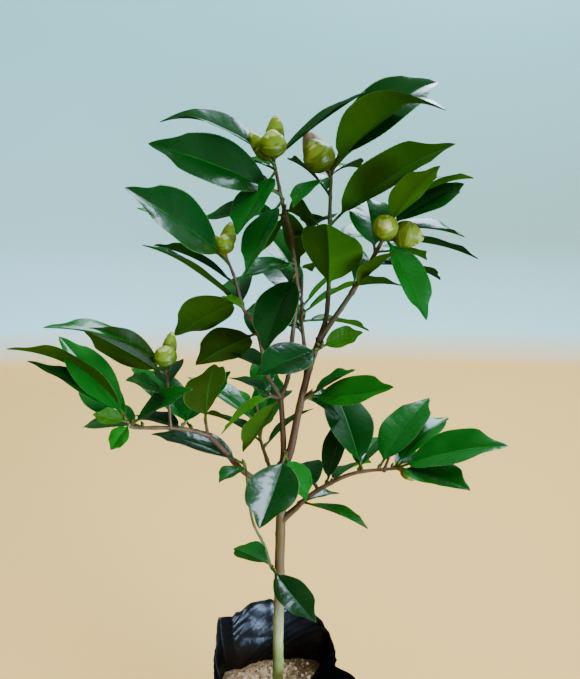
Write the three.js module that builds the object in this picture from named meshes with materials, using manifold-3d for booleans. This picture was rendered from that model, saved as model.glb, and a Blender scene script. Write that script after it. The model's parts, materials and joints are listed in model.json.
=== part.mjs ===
// A young camellia in a soft black grow bag, in millimetres with +Z up.
// The origin is the centre of the bag's flat underside, +X is to the right and -Y is the front.
// A heading turns from +X towards +Y, and a rise is measured up from level, both in degrees.

import * as THREE from 'three';
import { mergeVertices } from 'three/addons/utils/BufferGeometryUtils.js';
import Module from 'manifold-3d';

const wasm = await Module();
wasm.setup();

const CLEARANCE = 0.3;

// Bag: the rim's waves are [height, waves round the bag, heading of a crest].

const BAG_RADIUS = 54;
const BAG_FOOT_RADIUS = 49;
const BAG_TAPER_HEIGHT = 60;
const BAG_HEEL_HEIGHT = 14;
const BAG_HEEL_DEPTH = 3;
const BAG_WALL = 1.3;
const BAG_FLOOR = 1.6;
const BAG_FLOOR_INSET = 1;
const BAG_STEPS = 30;
const BAG_RIPPLE = 0.8;
const RIM_HEIGHT = 184;
const RIM_WAVES = [[13, 1, 125], [7, 2, 120], [2, 7, 0]];
const RIM_ROWS = [0.35, 0.7, 1];
const CRUMPLE_FROM = 90;
const CRUMPLE_DEPTH = 2.2;
const CRUMPLE_HEADING = 165;
const RIM_NARROWING = 2;

// Compost: the surface rows are [share of the edge's radius, depth below the top].

const SOIL_TOP = 150;
const SOIL_EDGE = SOIL_TOP - 4;
const SOIL_ROWS = [[0.75, 1.6], [0.5, 0.8]];
const SOIL_LUMPS = 0.6;
const SOIL_SEAT_RADIUS = 12;
const BODY_ROWS = [3, BAG_HEEL_HEIGHT, 35, 62, 90, 120, SOIL_EDGE];

// Wood

const LIMB_STEP = 9;
const LIMB_SIDES = 8;
const TWIG_SIDES = 6;
const FLARE = 2.4;
const FLARE_LENGTH = 7;

// Leaves and buds

const LEAF_STATIONS = [0.19, 0.32, 0.5, 0.68, 0.85];
const PETIOLE_END = 0.1;
const PETIOLE_RADIUS = 1.0;
const LEAF_WIDEST = 0.46;
const LEAF_BASE_POWER = 0.8;
const LEAF_TIP_POWER = 2.1;
const CURL_START = 0.6;
const LEAF_FOLD = 16;
const LEAF_THICKNESS = 0.017;
const BUD_STATIONS = [0.2, 0.4, 0.64, 0.85];
const BUD_SIDES = 7;
const BUD_STALK = 0.16;
const BUD_STALK_RADIUS = 1.4;
const BUD_SKEW = 0.8;
const BUD_FULLNESS = 0.7;

// Leaves that the rule adds: ranges are [least, greatest], and the width is a share of the length.

const EXTRA_FIRST = 0.15;
const EXTRA_TRIES = 9;
const EXTRA_SPREAD = 75;
const EXTRA_RISE = [-22, 38];
const EXTRA_LENGTH = [56, 80];
const EXTRA_ROLL = 30;
const EXTRA_WIDTH = 0.42;
const EXTRA_ARCH = 32;
const LEAF_GAP = 8;
const WOOD_GAP = 6;
const WOOD_POINT_STEP = 5;
const BLADE_TEST_PARTS = [0.34, 0.46, 0.58, 0.7, 0.82, 0.97];

// Limbs: where each starts, its radius at either end, and its legs as [length, heading, rise].

const TRUNK_FOOT = new THREE.Vector3(0, 0, SOIL_TOP + CLEARANCE);

const LIMBS = {
  trunk: { radii: [5.0, 3.7], legs: [[20, 0, 90], [110, 0, 89], [85, 0, 88]] },
  leader: {
    from: 'trunk', radii: [3.3, 2.2],
    legs: [[14, -18, 64], [38, -16, 79], [32, 0, 77], [24, 0, 72]],
  },
  left_stem: { from: 'trunk', radii: [2.5, 2.0], legs: [[21, 82, 82], [34, 122, 84]] },
  middle_bough: { from: 'leader', radii: [1.9, 1.7], legs: [[17, 39, 68], [19, 67, 76]] },
  right_bough: { from: 'leader', radii: [2.1, 1.8], legs: [[25, -18, 57], [19, -12, 58]] },
  top_left_bough: { from: 'left_stem', radii: [1.8, 1.6], legs: [[18, 0, 72], [35, 0, 84], [32, 0, 83]] },
  mid_left_bough: { from: 'left_stem', radii: [1.8, 1.6], legs: [[23, -150, 59]] },
  low_left_bough: {
    from: 'trunk', along: 184, radii: [2.6, 2.0],
    legs: [[24, 180, 41], [20, -155, 45], [24, -146, 53], [20, -151, 52]],
  },
  low_right_bough: { from: 'trunk', along: 166, radii: [2.6, 2.2], legs: [[18, -18, 46], [7, -30, 54]] },
  back_bough: { from: 'leader', along: 62, radii: [1.9, 1.6], legs: [[22, 80, 38], [20, 95, 52]] },
  low_back_bough: { from: 'trunk', along: 176, radii: [2.0, 1.6], legs: [[20, 105, 34], [24, 120, 48]] },
};

// Masses: each has twigs, which start on the limb's tip or part way along another twig, and on them
// leaves as [twig, along, heading, rise, length, width, roll, arch, curl] and buds as
// [twig, along, heading, rise, length, width]. A leaf without a curl has a straight tip. The rule
// adds extra leaves round a back heading.

const SHOOTS = {
  crown_shoot: {
    from: 'middle_bough', seed: 1, extra: [5, 100],
    twigs: [{ radii: [1.6, 1.2], legs: [[50, 89, 88], [42, 67, 87]] }],
    leaves: [
      [0, 1, -95, 40, 86, 46, 15, 20],
      [0, 48, -26, 33, 104, 41, 30, 38],
      [0, 82, -124, -20, 52, 24, -10, 30],
      [0, 86, 34, 31, 70, 28, 5, 30],
      [0, 87, -48, 34, 100, 44, 5, 22, 0.24],
      [0, 90, 9, 38, 96, 39, -50, 60, 0.04],
    ],
    buds: [[0, 84, -160, 52, 30, 22]],
  },
  right_shoot: {
    from: 'right_bough', seed: 29, extra: [5, 60],
    twigs: [{ radii: [1.8, 1.1], legs: [[26, -9, 61], [16, -16, 63], [15, 0, 70]] }],
    leaves: [
      [0, 2, 86, 30, 60, 26, -45, 20],
      [0, 3, -51, 39, 50, 22, 0, 10],
      [0, 6, -52, 8, 44, 18, 25, 20],
      [0, 32, 94, 39, 58, 33, 0, 30],
      [0, 46, -35, -58, 66, 29, -20, 20],
      [0, 51, 13, -7, 60, 26, -10, 30],
      [0, 53, -60, 40, 64, 27, 10, 20],
      [0, 52, 25, 24, 70, 38, -20, 15],
      [0, 55, 26, 22, 78, 30, 10, 50],
    ],
    buds: [[0, 49, -100, 20, 22, 17], [0, 50, -22, -10, 27, 18]],
  },
  upper_left_shoot: {
    from: 'top_left_bough', seed: 85, extra: [5, 110],
    twigs: [{ radii: [1.6, 1.1], legs: [[39, 159, 82], [24, 180, 76], [34, 180, 78]] }],
    leaves: [
      [0, 14, -120, -48, 66, 36, 0, 20],
      [0, 21, -131, -4, 56, 24, 15, 20],
      [0, 56, 135, -46, 56, 26, -5, 20],
      [0, 60, -66, -5, 54, 24, 55, 20],
      [0, 65, 75, -55, 62, 26, -25, 20],
      [0, 67, -117, -41, 68, 27, -10, 20],
      [0, 71, -168, 21, 98, 42, 55, 22],
      [0, 88, -123, -41, 62, 36, -10, 8],
      [0, 96, 178, 24, 84, 30, 20, 30, 0.12],
      [0, 96, -9, 35, 77, 26, -15, 12],
    ],
    buds: [[0, 95, -95, 66, 23, 19], [0, 97, 40, 84, 30, 13], [0, 92, 178, 52, 29, 12]],
  },
  mid_left_shoot: {
    from: 'mid_left_bough', seed: 29, extra: [5, 130],
    twigs: [{ radii: [1.6, 1.0], legs: [[39, -139, 76], [18, -168, 59], [25, -161, 75], [19, -163, 69]] }],
    leaves: [
      [0, 4, 127, 4, 54, 24, 0, 20],
      [0, 36, 148, -30, 70, 34, -55, 20],
      [0, 58, -133, 31, 24, 11, -25, 10],
      [0, 60, -152, 37, 86, 28, 5, 12, 0.05],
      [0, 65, 156, -30, 68, 36, -50, 20],
      [0, 97, -134, 33, 94, 40, 65, 12],
    ],
    buds: [[0, 98, -100, 72, 17, 13], [0, 100, 30, 76, 23, 11], [0, 98, 176, 48, 23, 11]],
  },
  low_left_shoot: {
    from: 'low_left_bough', seed: 10, extra: [6, 120],
    twigs: [
      { radii: [1.9, 1.1], legs: [[14, -151, 28], [18, -151, 19], [26, -157, 10], [7, -154, 48]] },
      { on: 0, along: 32, radii: [1.3, 0.9], legs: [[47, 108, 85]] },
      { on: 0, along: 1, radii: [1.3, 1.0], legs: [[16, -107, 75]] },
    ],
    leaves: [
      [0, 21, 146, -1, 52, 22, 0, 20],
      [0, 61, -12, 33, 56, 24, -25, 20],
      [0, 62, -139, -43, 22, 15, 30, 20],
      [0, 65, -146, 25, 26, 13, -80, 10],
      [0, 65, 157, 46, 78, 28, 25, 20],
      [0, 64, 180, 34, 96, 30, -35, 65],
      [0, 65, 177, 33, 80, 30, -5, 20],
      [1, 23, -118, 31, 50, 22, 35, 20],
      [1, 29, 94, 5, 50, 24, 15, 30],
      [1, 39, -156, 36, 68, 28, -70, 20],
      [1, 46, -153, 25, 88, 32, 5, 40],
      [2, 13, -71, 58, 64, 36, -20, 20],
    ],
    buds: [[1, 45, -90, 70, 18, 16], [1, 46, 60, 72, 25, 10]],
  },
  low_right_shoot: {
    from: 'low_right_bough', seed: 78, extra: [6, 80],
    twigs: [
      { radii: [2.1, 1.2], legs: [[24, -21, 44], [31, -18, 33], [34, -14, 14]] },
      { on: 0, along: 78, radii: [1.2, 0.9], legs: [[11, -25, 74]] },
    ],
    leaves: [
      [0, 2, -42, 2, 64, 26, 20, 18],
      [0, 3, 35, -7, 38, 16, 5, 20],
      [0, 28, 67, 48, 62, 27, 29, -14],
      [0, 61, 104, 29, 86, 40, -5, 20],
      [0, 73, 46, 31, 78, 37, 5, 20],
      [0, 86, 41, 20, 68, 32, 5, 40],
      [0, 88, -52, 8, 66, 32, -10, 20],
      [0, 88, -31, 25, 86, 40, -20, 25],
    ],
    buds: [[0, 88, -22, -28, 16, 7]],
  },
  low_twig: {
    from: 'trunk', along: 121, seed: 61, extra: [0, 150],
    twigs: [{ radii: [1.5, 0.9], legs: [[8, -150, 25], [24, -150, 74], [30, -150, 69], [50, -125, 82]] }],
    leaves: [
      [0, 8, -61, -3, 70, 27, -10, -18],
      [0, 11, -142, 40, 46, 24, -60, 20],
      [0, 111, 167, 13, 78, 34, 0, 25],
      [0, 109, -123, 2, 32, 18, 0, 20],
    ],
    buds: [],
  },
  fork_leaves: {
    from: 'trunk', along: 213, seed: 71, extra: [0, 90],
    twigs: [{ radii: [2.0, 1.5], legs: [[17, -70, 66]] }],
    leaves: [
      [0, 16, -105, -20, 73, 41, 1, -18],
      [0, 14, -49, -50, 38, 28, 10, 5],
    ],
    buds: [],
  },
  left_node_leaves: {
    from: 'left_stem', seed: 73, extra: [0, 90],
    twigs: [{ radii: [1.9, 1.4], legs: [[9, -170, 12]] }],
    leaves: [
      [0, 1, 157, -58, 62, 26, -25, 10],
      [0, 8, -127, -12, 58, 24, -50, 20],
      [0, 8, 135, 3, 50, 22, -10, 20],
    ],
    buds: [],
  },
  leader_top_leaves: {
    from: 'leader', along: 100, seed: 79, extra: [0, 90],
    twigs: [{ radii: [1.8, 1.3], legs: [[10, -65, 25]] }],
    leaves: [
      [0, 7, -137, -7, 62, 32, 25, 8],
      [0, 8, 1, 20, 33, 19, 70, 20],
    ],
    buds: [],
  },
  leader_low_leaves: {
    from: 'leader', along: 58, seed: 83, extra: [0, 90],
    twigs: [{ radii: [1.9, 1.4], legs: [[12, -27, 38]] }],
    leaves: [
      [0, 5, 34, -36, 42, 22, -30, 20],
      [0, 6, 37, -18, 44, 20, -15, 20],
      [0, 8, -36, 17, 74, 30, -34, -18],
      [0, 9, -6, 32, 40, 26, 1, 10],
    ],
    buds: [],
  },
  back_shoot: {
    from: 'back_bough', seed: 63, extra: [9, 90],
    twigs: [{ radii: [1.6, 1.0], legs: [[26, 100, 60], [30, 85, 72]] }],
    leaves: [],
    buds: [],
  },
  low_back_shoot: {
    from: 'low_back_bough', seed: 37, extra: [9, 100],
    twigs: [{ radii: [1.6, 1.0], legs: [[24, 112, 40], [30, 100, 56]] }],
    leaves: [],
    buds: [],
  },
};

// Finishes

const FINISHES = {
  film: { color: 0x0b0c10, roughness: 0.42, metalness: 0 },
  soil: { color: 0x4a3a28, roughness: 0.97, metalness: 0 },
  bark: { color: 0x7d6546, roughness: 0.85, metalness: 0 },
  foliage: { color: 0x17451c, roughness: 0.35, metalness: 0 },
};

// Directions and random numbers

const rad = THREE.MathUtils.degToRad;

function bearing(heading, rise) {
  const level = new THREE.Vector3(Math.cos(rad(heading)), Math.sin(rad(heading)), 0);
  return level.multiplyScalar(Math.cos(rad(rise))).setZ(Math.sin(rad(rise)));
}

// A draw from 0 to 1 by the usual congruence, so that the same seed gives the same leaves.
function randomFrom(seed) {
  const range = 2 ** 32;
  let state = (seed * 2654435761) % range;
  return () => {
    state = (state * 1664525 + 1013904223) % range;
    return state / range;
  };
}

// Closed meshes

// A skin over rings of equally many points, closed by a fan at either end.
function skin(rings, startPoint, endPoint) {
  const count = rings[0].length;
  const points = [startPoint, endPoint, ...rings.flat()];
  const corner = (ring, step) => 2 + ring * count + (step % count);
  const triangles = [];
  for (let step = 0; step < count; step += 1) {
    triangles.push([0, corner(0, step + 1), corner(0, step)]);
    for (let ring = 0; ring + 1 < rings.length; ring += 1) {
      triangles.push([corner(ring, step), corner(ring, step + 1), corner(ring + 1, step + 1)]);
      triangles.push([corner(ring, step), corner(ring + 1, step + 1), corner(ring + 1, step)]);
    }
    triangles.push([1, corner(rings.length - 1, step), corner(rings.length - 1, step + 1)]);
  }
  return outward(points, triangles);
}

// The geometry of a closed mesh, with its faces turned outwards.
function outward(points, triangles) {
  const volume = triangles.reduce((sum, [a, b, c]) => {
    const cross = new THREE.Vector3().crossVectors(points[b], points[c]);
    return sum + points[a].dot(cross);
  }, 0);
  const order = volume > 0 ? triangles : triangles.map(([a, b, c]) => [a, c, b]);
  const geometry = new THREE.BufferGeometry().setFromPoints(points);
  geometry.setIndex(order.flat());
  return geometry;
}

function toSolid(geometry) {
  const plain = geometry.clone();
  plain.deleteAttribute('normal');
  plain.deleteAttribute('uv');
  const merged = mergeVertices(plain, 1e-4);
  const vertProperties = Float32Array.from(merged.attributes.position.array);
  const triVerts = Uint32Array.from(merged.index.array);
  return new wasm.Manifold(new wasm.Mesh({ numProp: 3, vertProperties, triVerts }));
}

function toGeometry(solid) {
  const mesh = solid.getMesh();
  const geometry = new THREE.BufferGeometry();
  geometry.setAttribute('position', new THREE.Float32BufferAttribute(mesh.vertProperties, 3));
  geometry.setIndex(Array.from(mesh.triVerts));
  return geometry;
}

// The largest piece of a cut solid, without the scraps.
function largest(solid) {
  const pieces = solid.decompose();
  return pieces.reduce((best, piece) => (piece.volume() > best.volume() ? piece : best));
}

function joined(solids) {
  return solids.reduce((sum, solid) => sum.add(solid));
}

// Wood

// The corners of a limb or twig, one after each leg.
function corners(start, legs) {
  const points = [start.clone()];
  for (const [length, heading, rise] of legs) {
    points.push(points.at(-1).clone().addScaledVector(bearing(heading, rise), length));
  }
  return points;
}

function reach(legs) {
  return legs.reduce((sum, [length]) => sum + length, 0);
}

// The point that lies so far along the straight legs.
function pointAlong(start, legs, along) {
  const points = corners(start, legs);
  let left = along;
  for (let leg = 0; leg < legs.length; leg += 1) {
    const length = legs[leg][0];
    if (left <= length || leg === legs.length - 1) {
      return points[leg].clone().addScaledVector(bearing(legs[leg][1], legs[leg][2]), left);
    }
    left -= length;
  }
  return points.at(-1);
}

// A tapering round tube along a smooth curve through the corners. The ring keeps the turn of the
// ring before it, and grow makes the tube thicker and longer all over, for cutting its neighbours.
function limbGeometry({ start, legs, radii, sides, flare = 0 }, grow = 0) {
  const curve = new THREE.CatmullRomCurve3(corners(start, legs), false, 'catmullrom', 0.5);
  const length = reach(legs);
  const steps = Math.max(2, Math.round(length / LIMB_STEP));
  const across = new THREE.Vector3(1, 0.2, 0);
  const rings = [];
  let centre;
  let ahead;
  for (let step = 0; step <= steps; step += 1) {
    const part = step / steps;
    const at = part * length;
    centre = curve.getPoint(part);
    ahead = curve.getTangent(part);
    if (step === 0) centre.addScaledVector(ahead, -grow);
    across.addScaledVector(ahead, -across.dot(ahead)).normalize();
    const other = new THREE.Vector3().crossVectors(ahead, across);
    const taper = THREE.MathUtils.lerp(radii[0], radii[1], part);
    const radius = taper + flare * Math.exp(-at / FLARE_LENGTH) + grow;
    const ring = [];
    for (let side = 0; side < sides; side += 1) {
      const turn = (side / sides) * 2 * Math.PI;
      const spoke = across.clone().multiplyScalar(Math.cos(turn)).addScaledVector(other, Math.sin(turn));
      ring.push(centre.clone().addScaledVector(spoke, radius));
    }
    rings.push(ring);
  }
  const foot = curve.getPoint(0).addScaledVector(curve.getTangent(0), -grow);
  const tip = centre.clone().addScaledVector(ahead, radii[1] * 0.5 + grow);
  return skin(rings, foot, tip);
}

function limbStart(name) {
  const limb = LIMBS[name];
  if (!limb.from) return TRUNK_FOOT;
  return startOn(limb.from, limb.along);
}

// A place on a limb, at its tip unless a distance along it is given.
function startOn(name, along) {
  const { legs } = LIMBS[name];
  return pointAlong(limbStart(name), legs, along ?? reach(legs));
}

function limbSizes(name) {
  const { legs, radii } = LIMBS[name];
  return { start: limbStart(name), legs, radii, sides: LIMB_SIDES, flare: name === 'trunk' ? FLARE : 0 };
}

function twigStart(shoot, index) {
  const twig = shoot.twigs[index];
  if (twig.on === undefined) return startOn(shoot.from, shoot.along);
  return pointAlong(twigStart(shoot, twig.on), shoot.twigs[twig.on].legs, twig.along);
}

function onTwig(shoot, index, along) {
  return pointAlong(twigStart(shoot, index), shoot.twigs[index].legs, along);
}

// Leaves and buds

// The three directions of a leaf: along it, up out of its face, and across it. At a roll of 0 the
// face looks up, and a roll turns it about the leaf's length.
function leafDirections(heading, rise, roll) {
  const along = bearing(heading, rise);
  const level = new THREE.Vector3().crossVectors(bearing(heading, rise + 90), along);
  const face = bearing(heading, rise + 90).multiplyScalar(Math.cos(rad(roll)));
  face.addScaledVector(level, Math.sin(rad(roll)));
  return { along, face, across: new THREE.Vector3().crossVectors(face, along) };
}

// The midrib is an arc that turns through the arch angle, with the length as its chord, and its
// outer part drops away from the face by the curl's share of the length. This gives the point, and
// the way that the face looks, at a part from 0 at the twig to 1 at the tip.
function midrib(leaf, part) {
  const { along, face } = leafDirections(leaf.heading, leaf.rise, leaf.roll);
  const half = rad(leaf.arch) / 2;
  const turn = 2 * half * (part - 0.5);
  const size = leaf.length / (2 * Math.sin(half));
  const outer = Math.max(0, (part - CURL_START) / (1 - CURL_START));
  const drop = leaf.curl * leaf.length * outer ** 2;
  const tilt = turn + Math.atan((2 * leaf.curl * outer) / (1 - CURL_START));
  const point = leaf.base.clone();
  point.addScaledVector(along, size * (Math.sin(turn) + Math.sin(half)));
  point.addScaledVector(face, size * (Math.cos(turn) - Math.cos(half)) - drop);
  const up = along.clone().multiplyScalar(Math.sin(tilt)).addScaledVector(face, Math.cos(tilt));
  return { point, up };
}

// Half the blade's width at a part of the blade: a quarter wave up to the widest place, and from
// there a power curve down to the tip.
function halfWidth(leaf, blade) {
  const widest = leaf.width / 2;
  const rising = (Math.PI / 2) * (blade / LEAF_WIDEST);
  if (blade < LEAF_WIDEST) return widest * Math.sin(rising) ** LEAF_BASE_POWER;
  return widest * (1 - ((blade - LEAF_WIDEST) / (1 - LEAF_WIDEST)) ** LEAF_TIP_POWER);
}

// A leaf is a petiole and a blade folded a little along its midrib, in four-cornered sections.
function leafGeometry(leaf) {
  const { across } = leafDirections(leaf.heading, leaf.rise, leaf.roll);
  const thick = leaf.length * LEAF_THICKNESS;
  const rings = [];
  const section = (part, reachOut, lift, deep) => {
    const { point, up } = midrib(leaf, part);
    const corner = ([sideways, upwards]) => (
      point.clone().addScaledVector(across, sideways).addScaledVector(up, upwards)
    );
    rings.push([[-reachOut, lift], [0, -deep], [reachOut, lift], [0, deep]].map(corner));
  };
  section(0, PETIOLE_RADIUS, 0, PETIOLE_RADIUS);
  section(PETIOLE_END, PETIOLE_RADIUS, 0, PETIOLE_RADIUS);
  for (const part of LEAF_STATIONS) {
    const half = halfWidth(leaf, (part - PETIOLE_END) / (1 - PETIOLE_END));
    section(part, half * Math.cos(rad(LEAF_FOLD)), half * Math.sin(rad(LEAF_FOLD)), thick / 2);
  }
  return skin(rings, midrib(leaf, 0).point, midrib(leaf, 1).point);
}

// A bud is a short stalk and an egg with a pointed tip.
function budGeometry(bud) {
  const { along, face, across } = leafDirections(bud.heading, bud.rise, 0);
  const ring = (part, radius) => {
    const points = [];
    for (let side = 0; side < BUD_SIDES; side += 1) {
      const turn = (side / BUD_SIDES) * 2 * Math.PI;
      const point = bud.base.clone().addScaledVector(along, part * bud.length);
      point.addScaledVector(face, radius * Math.cos(turn));
      point.addScaledVector(across, radius * Math.sin(turn));
      points.push(point);
    }
    return points;
  };
  const rings = [ring(0, BUD_STALK_RADIUS)];
  for (const part of BUD_STATIONS) {
    const egg = (part - BUD_STALK) / (1 - BUD_STALK);
    const radius = (bud.width / 2) * Math.sin(Math.PI * egg ** BUD_SKEW) ** BUD_FULLNESS;
    rings.push(ring(part, Math.max(radius, BUD_STALK_RADIUS)));
  }
  return skin(rings, bud.base, bud.base.clone().addScaledVector(along, bud.length));
}

function leafFrom(shoot, [twig, along, heading, rise, length, width, roll, arch, curl = 0]) {
  return { base: onTwig(shoot, twig, along), heading, rise, length, width, roll, arch, curl };
}

function budFrom(shoot, [twig, along, heading, rise, length, width]) {
  return { base: onTwig(shoot, twig, along), heading, rise, length, width };
}

// Points on the outer two thirds of a blade, in rows of three, for telling whether leaves meet.
function bladePoints(leaf) {
  const { across } = leafDirections(leaf.heading, leaf.rise, leaf.roll);
  const points = [];
  for (const part of BLADE_TEST_PARTS) {
    const { point } = midrib(leaf, part);
    const half = halfWidth(leaf, (part - PETIOLE_END) / (1 - PETIOLE_END));
    for (const side of [-1, 0, 1]) points.push(point.clone().addScaledVector(across, side * half));
  }
  return points;
}

function clearOf(points, others, gap) {
  return points.every((point) => others.every((other) => point.distanceTo(other) > gap));
}

// Points at small steps along all limbs and twigs.
function woodPoints() {
  const points = [];
  const walk = (start, legs) => {
    for (let along = 0; along <= reach(legs); along += WOOD_POINT_STEP) {
      points.push(pointAlong(start, legs, along));
    }
  };
  for (const name of Object.keys(LIMBS)) walk(limbStart(name), LIMBS[name].legs);
  for (const shoot of Object.values(SHOOTS)) {
    shoot.twigs.forEach((twig, index) => walk(twigStart(shoot, index), twig.legs));
  }
  return points;
}

// One leaf that the rule draws, turned round the back heading.
function drawLeaf(shoot, along, random) {
  const within = ([least, greatest]) => least + (greatest - least) * random();
  const heading = shoot.extra[1] + EXTRA_SPREAD * within([-1, 1]);
  const rise = within(EXTRA_RISE);
  const length = within(EXTRA_LENGTH);
  const roll = EXTRA_ROLL * within([-1, 1]);
  return leafFrom(shoot, [0, along, heading, rise, length, EXTRA_WIDTH * length, roll, EXTRA_ARCH]);
}

// All leaves by shoot. The extra ones are drawn by the shoot's seed and spaced along its first
// twig, and one that would touch wood or another leaf is drawn again a few times, then skipped.
function growLeaves() {
  const leaves = {};
  const taken = [];
  for (const [name, shoot] of Object.entries(SHOOTS)) {
    leaves[name] = shoot.leaves.map((row) => leafFrom(shoot, row));
    for (const leaf of leaves[name]) taken.push(...bladePoints(leaf));
  }
  const wood = woodPoints();
  for (const [name, shoot] of Object.entries(SHOOTS)) {
    const random = randomFrom(shoot.seed);
    const [count] = shoot.extra;
    for (let index = 0; index < count; index += 1) {
      const share = EXTRA_FIRST + ((1 - EXTRA_FIRST) * (index + 0.5)) / count;
      const along = share * reach(shoot.twigs[0].legs);
      for (let attempt = 0; attempt < EXTRA_TRIES; attempt += 1) {
        const leaf = drawLeaf(shoot, along, random);
        const points = bladePoints(leaf);
        if (clearOf(points, taken, LEAF_GAP) && clearOf(points, wood, WOOD_GAP)) {
          leaves[name].push(leaf);
          taken.push(...points);
          break;
        }
      }
    }
  }
  return leaves;
}

// Bag and compost

// How far the film stands from the axis at a heading and height. It widens from the foot and has a
// soft three-cornered crumple that grows towards the rim.
function bagRadius(heading, height) {
  const taper = Math.min(1, height / BAG_TAPER_HEIGHT);
  const body = THREE.MathUtils.lerp(BAG_FOOT_RADIUS, BAG_RADIUS, taper);
  const foot = Math.min(1, height / BAG_HEEL_HEIGHT);
  const heel = BAG_HEEL_DEPTH * (1 - Math.sqrt(1 - (1 - foot) ** 2));
  const high = THREE.MathUtils.smoothstep(height, CRUMPLE_FROM, RIM_HEIGHT);
  const crumple = CRUMPLE_DEPTH * Math.cos(3 * rad(heading - CRUMPLE_HEADING)) - RIM_NARROWING;
  const ripple = BAG_RIPPLE * Math.cos(5 * rad(heading + height / 5));
  return body - heel + high * crumple + ripple;
}

function rimHeight(heading) {
  const wave = ([size, count, crest]) => size * Math.cos(count * rad(heading - crest));
  return RIM_WAVES.reduce((height, row) => height + wave(row), RIM_HEIGHT);
}

function bagRing(heightOf, inset, lift = 0) {
  const ring = [];
  for (let step = 0; step < BAG_STEPS; step += 1) {
    const heading = (step / BAG_STEPS) * 360;
    const height = heightOf(heading);
    const radius = bagRadius(heading, height) - inset;
    const [x, y] = [radius * Math.cos(rad(heading)), radius * Math.sin(rad(heading))];
    ring.push(new THREE.Vector3(x, y, height + lift));
  }
  return ring;
}

function bagGeometry() {
  const level = (height) => () => height;
  const towardsRim = (part) => (heading) => THREE.MathUtils.lerp(SOIL_EDGE, rimHeight(heading), part);
  const outer = [bagRing(level(0), 0), ...BODY_ROWS.map((height) => bagRing(level(height), 0))];
  const outerTop = RIM_ROWS.map((part) => bagRing(towardsRim(part), 0));
  const innerTop = RIM_ROWS.toReversed().map((part) => bagRing(towardsRim(part), BAG_WALL));
  const inner = BODY_ROWS.toReversed().map((height) => bagRing(level(height), BAG_WALL));
  const floorRing = bagRing(level(BAG_FLOOR), BAG_WALL + BAG_FLOOR_INSET);
  const rings = [...outer, ...outerTop, ...innerTop, ...inner, floorRing];
  return skin(rings, new THREE.Vector3(0, 0, 0), new THREE.Vector3(0, 0, BAG_FLOOR));
}

// The compost fills the bag, and its surface is flat under the trunk and uneven round it.
function soilGeometry() {
  const inset = BAG_WALL + CLEARANCE;
  const rings = BODY_ROWS.map((height) => bagRing(() => height, inset));
  for (const [share, depth] of SOIL_ROWS) {
    rings.push(bagRing(() => SOIL_EDGE, inset).map((edge, step) => {
      const point = edge.clone().multiplyScalar(share);
      return point.setZ(SOIL_TOP - depth * (1 + SOIL_LUMPS * Math.cos(2 * step)));
    }));
  }
  const seat = rings.at(-1).map((point) => {
    const flat = new THREE.Vector3(point.x, point.y, 0).setLength(SOIL_SEAT_RADIUS);
    return flat.setZ(SOIL_TOP);
  });
  rings.push(seat);
  rings.unshift(bagRing(() => BAG_FLOOR, inset + BAG_FLOOR_INSET, CLEARANCE));
  rings.reverse();
  return skin(rings, new THREE.Vector3(0, 0, SOIL_TOP), new THREE.Vector3(0, 0, BAG_FLOOR + CLEARANCE));
}

// Assembly

function meshOf(name, geometry, finish) {
  geometry.computeVertexNormals();
  const mesh = new THREE.Mesh(geometry, new THREE.MeshStandardMaterial(FINISHES[finish]));
  mesh.name = name;
  return mesh;
}

const plant = new THREE.Group();
plant.add(meshOf('bag', bagGeometry(), 'film'));
plant.add(meshOf('soil', soilGeometry(), 'soil'));

// Each limb is cut clear of those before it, so a bough meets its parent at a small even gap.
const cutters = [];
for (const name of Object.keys(LIMBS)) {
  const sizes = limbSizes(name);
  let solid = toSolid(limbGeometry(sizes));
  for (const cutter of cutters) solid = solid.subtract(cutter);
  plant.add(meshOf(name, toGeometry(largest(solid)), 'bark'));
  cutters.push(toSolid(limbGeometry(sizes, CLEARANCE)));
}

// Each mass is its twigs, leaves and buds in one, cut clear of every limb.
const leavesByShoot = growLeaves();
for (const [name, shoot] of Object.entries(SHOOTS)) {
  const twigs = shoot.twigs.map(({ legs, radii }, index) => (
    limbGeometry({ start: twigStart(shoot, index), legs, radii, sides: TWIG_SIDES })
  ));
  const leaves = leavesByShoot[name].map(leafGeometry);
  const buds = shoot.buds.map((row) => budGeometry(budFrom(shoot, row)));
  let solid = joined([...twigs, ...leaves, ...buds].map(toSolid));
  for (const cutter of cutters) solid = solid.subtract(cutter);
  plant.add(meshOf(name, toGeometry(largest(solid)), 'foliage'));
}

export default plant;
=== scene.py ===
"""A young camellia in a soft black grow bag.

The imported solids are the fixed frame. The limbs, the foliage masses, the bag and the compost are each
replaced by finer meshes that follow the same rule as the solids: limbs and twigs are tapering tubes on
smooth curves through the ends of straight legs, and a leaf or bud is placed by its heading and rise.

Lengths are in millimetres until a mesh is made. The origin is the centre of the bag's underside, +X is
to the right, -Y is the front and +Z is up. A heading turns from +X towards +Y, and a rise is measured up
from level, both in degrees.
"""

import json
import logging
import math
from collections.abc import Sequence
from dataclasses import dataclass, replace
from enum import Enum

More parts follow.
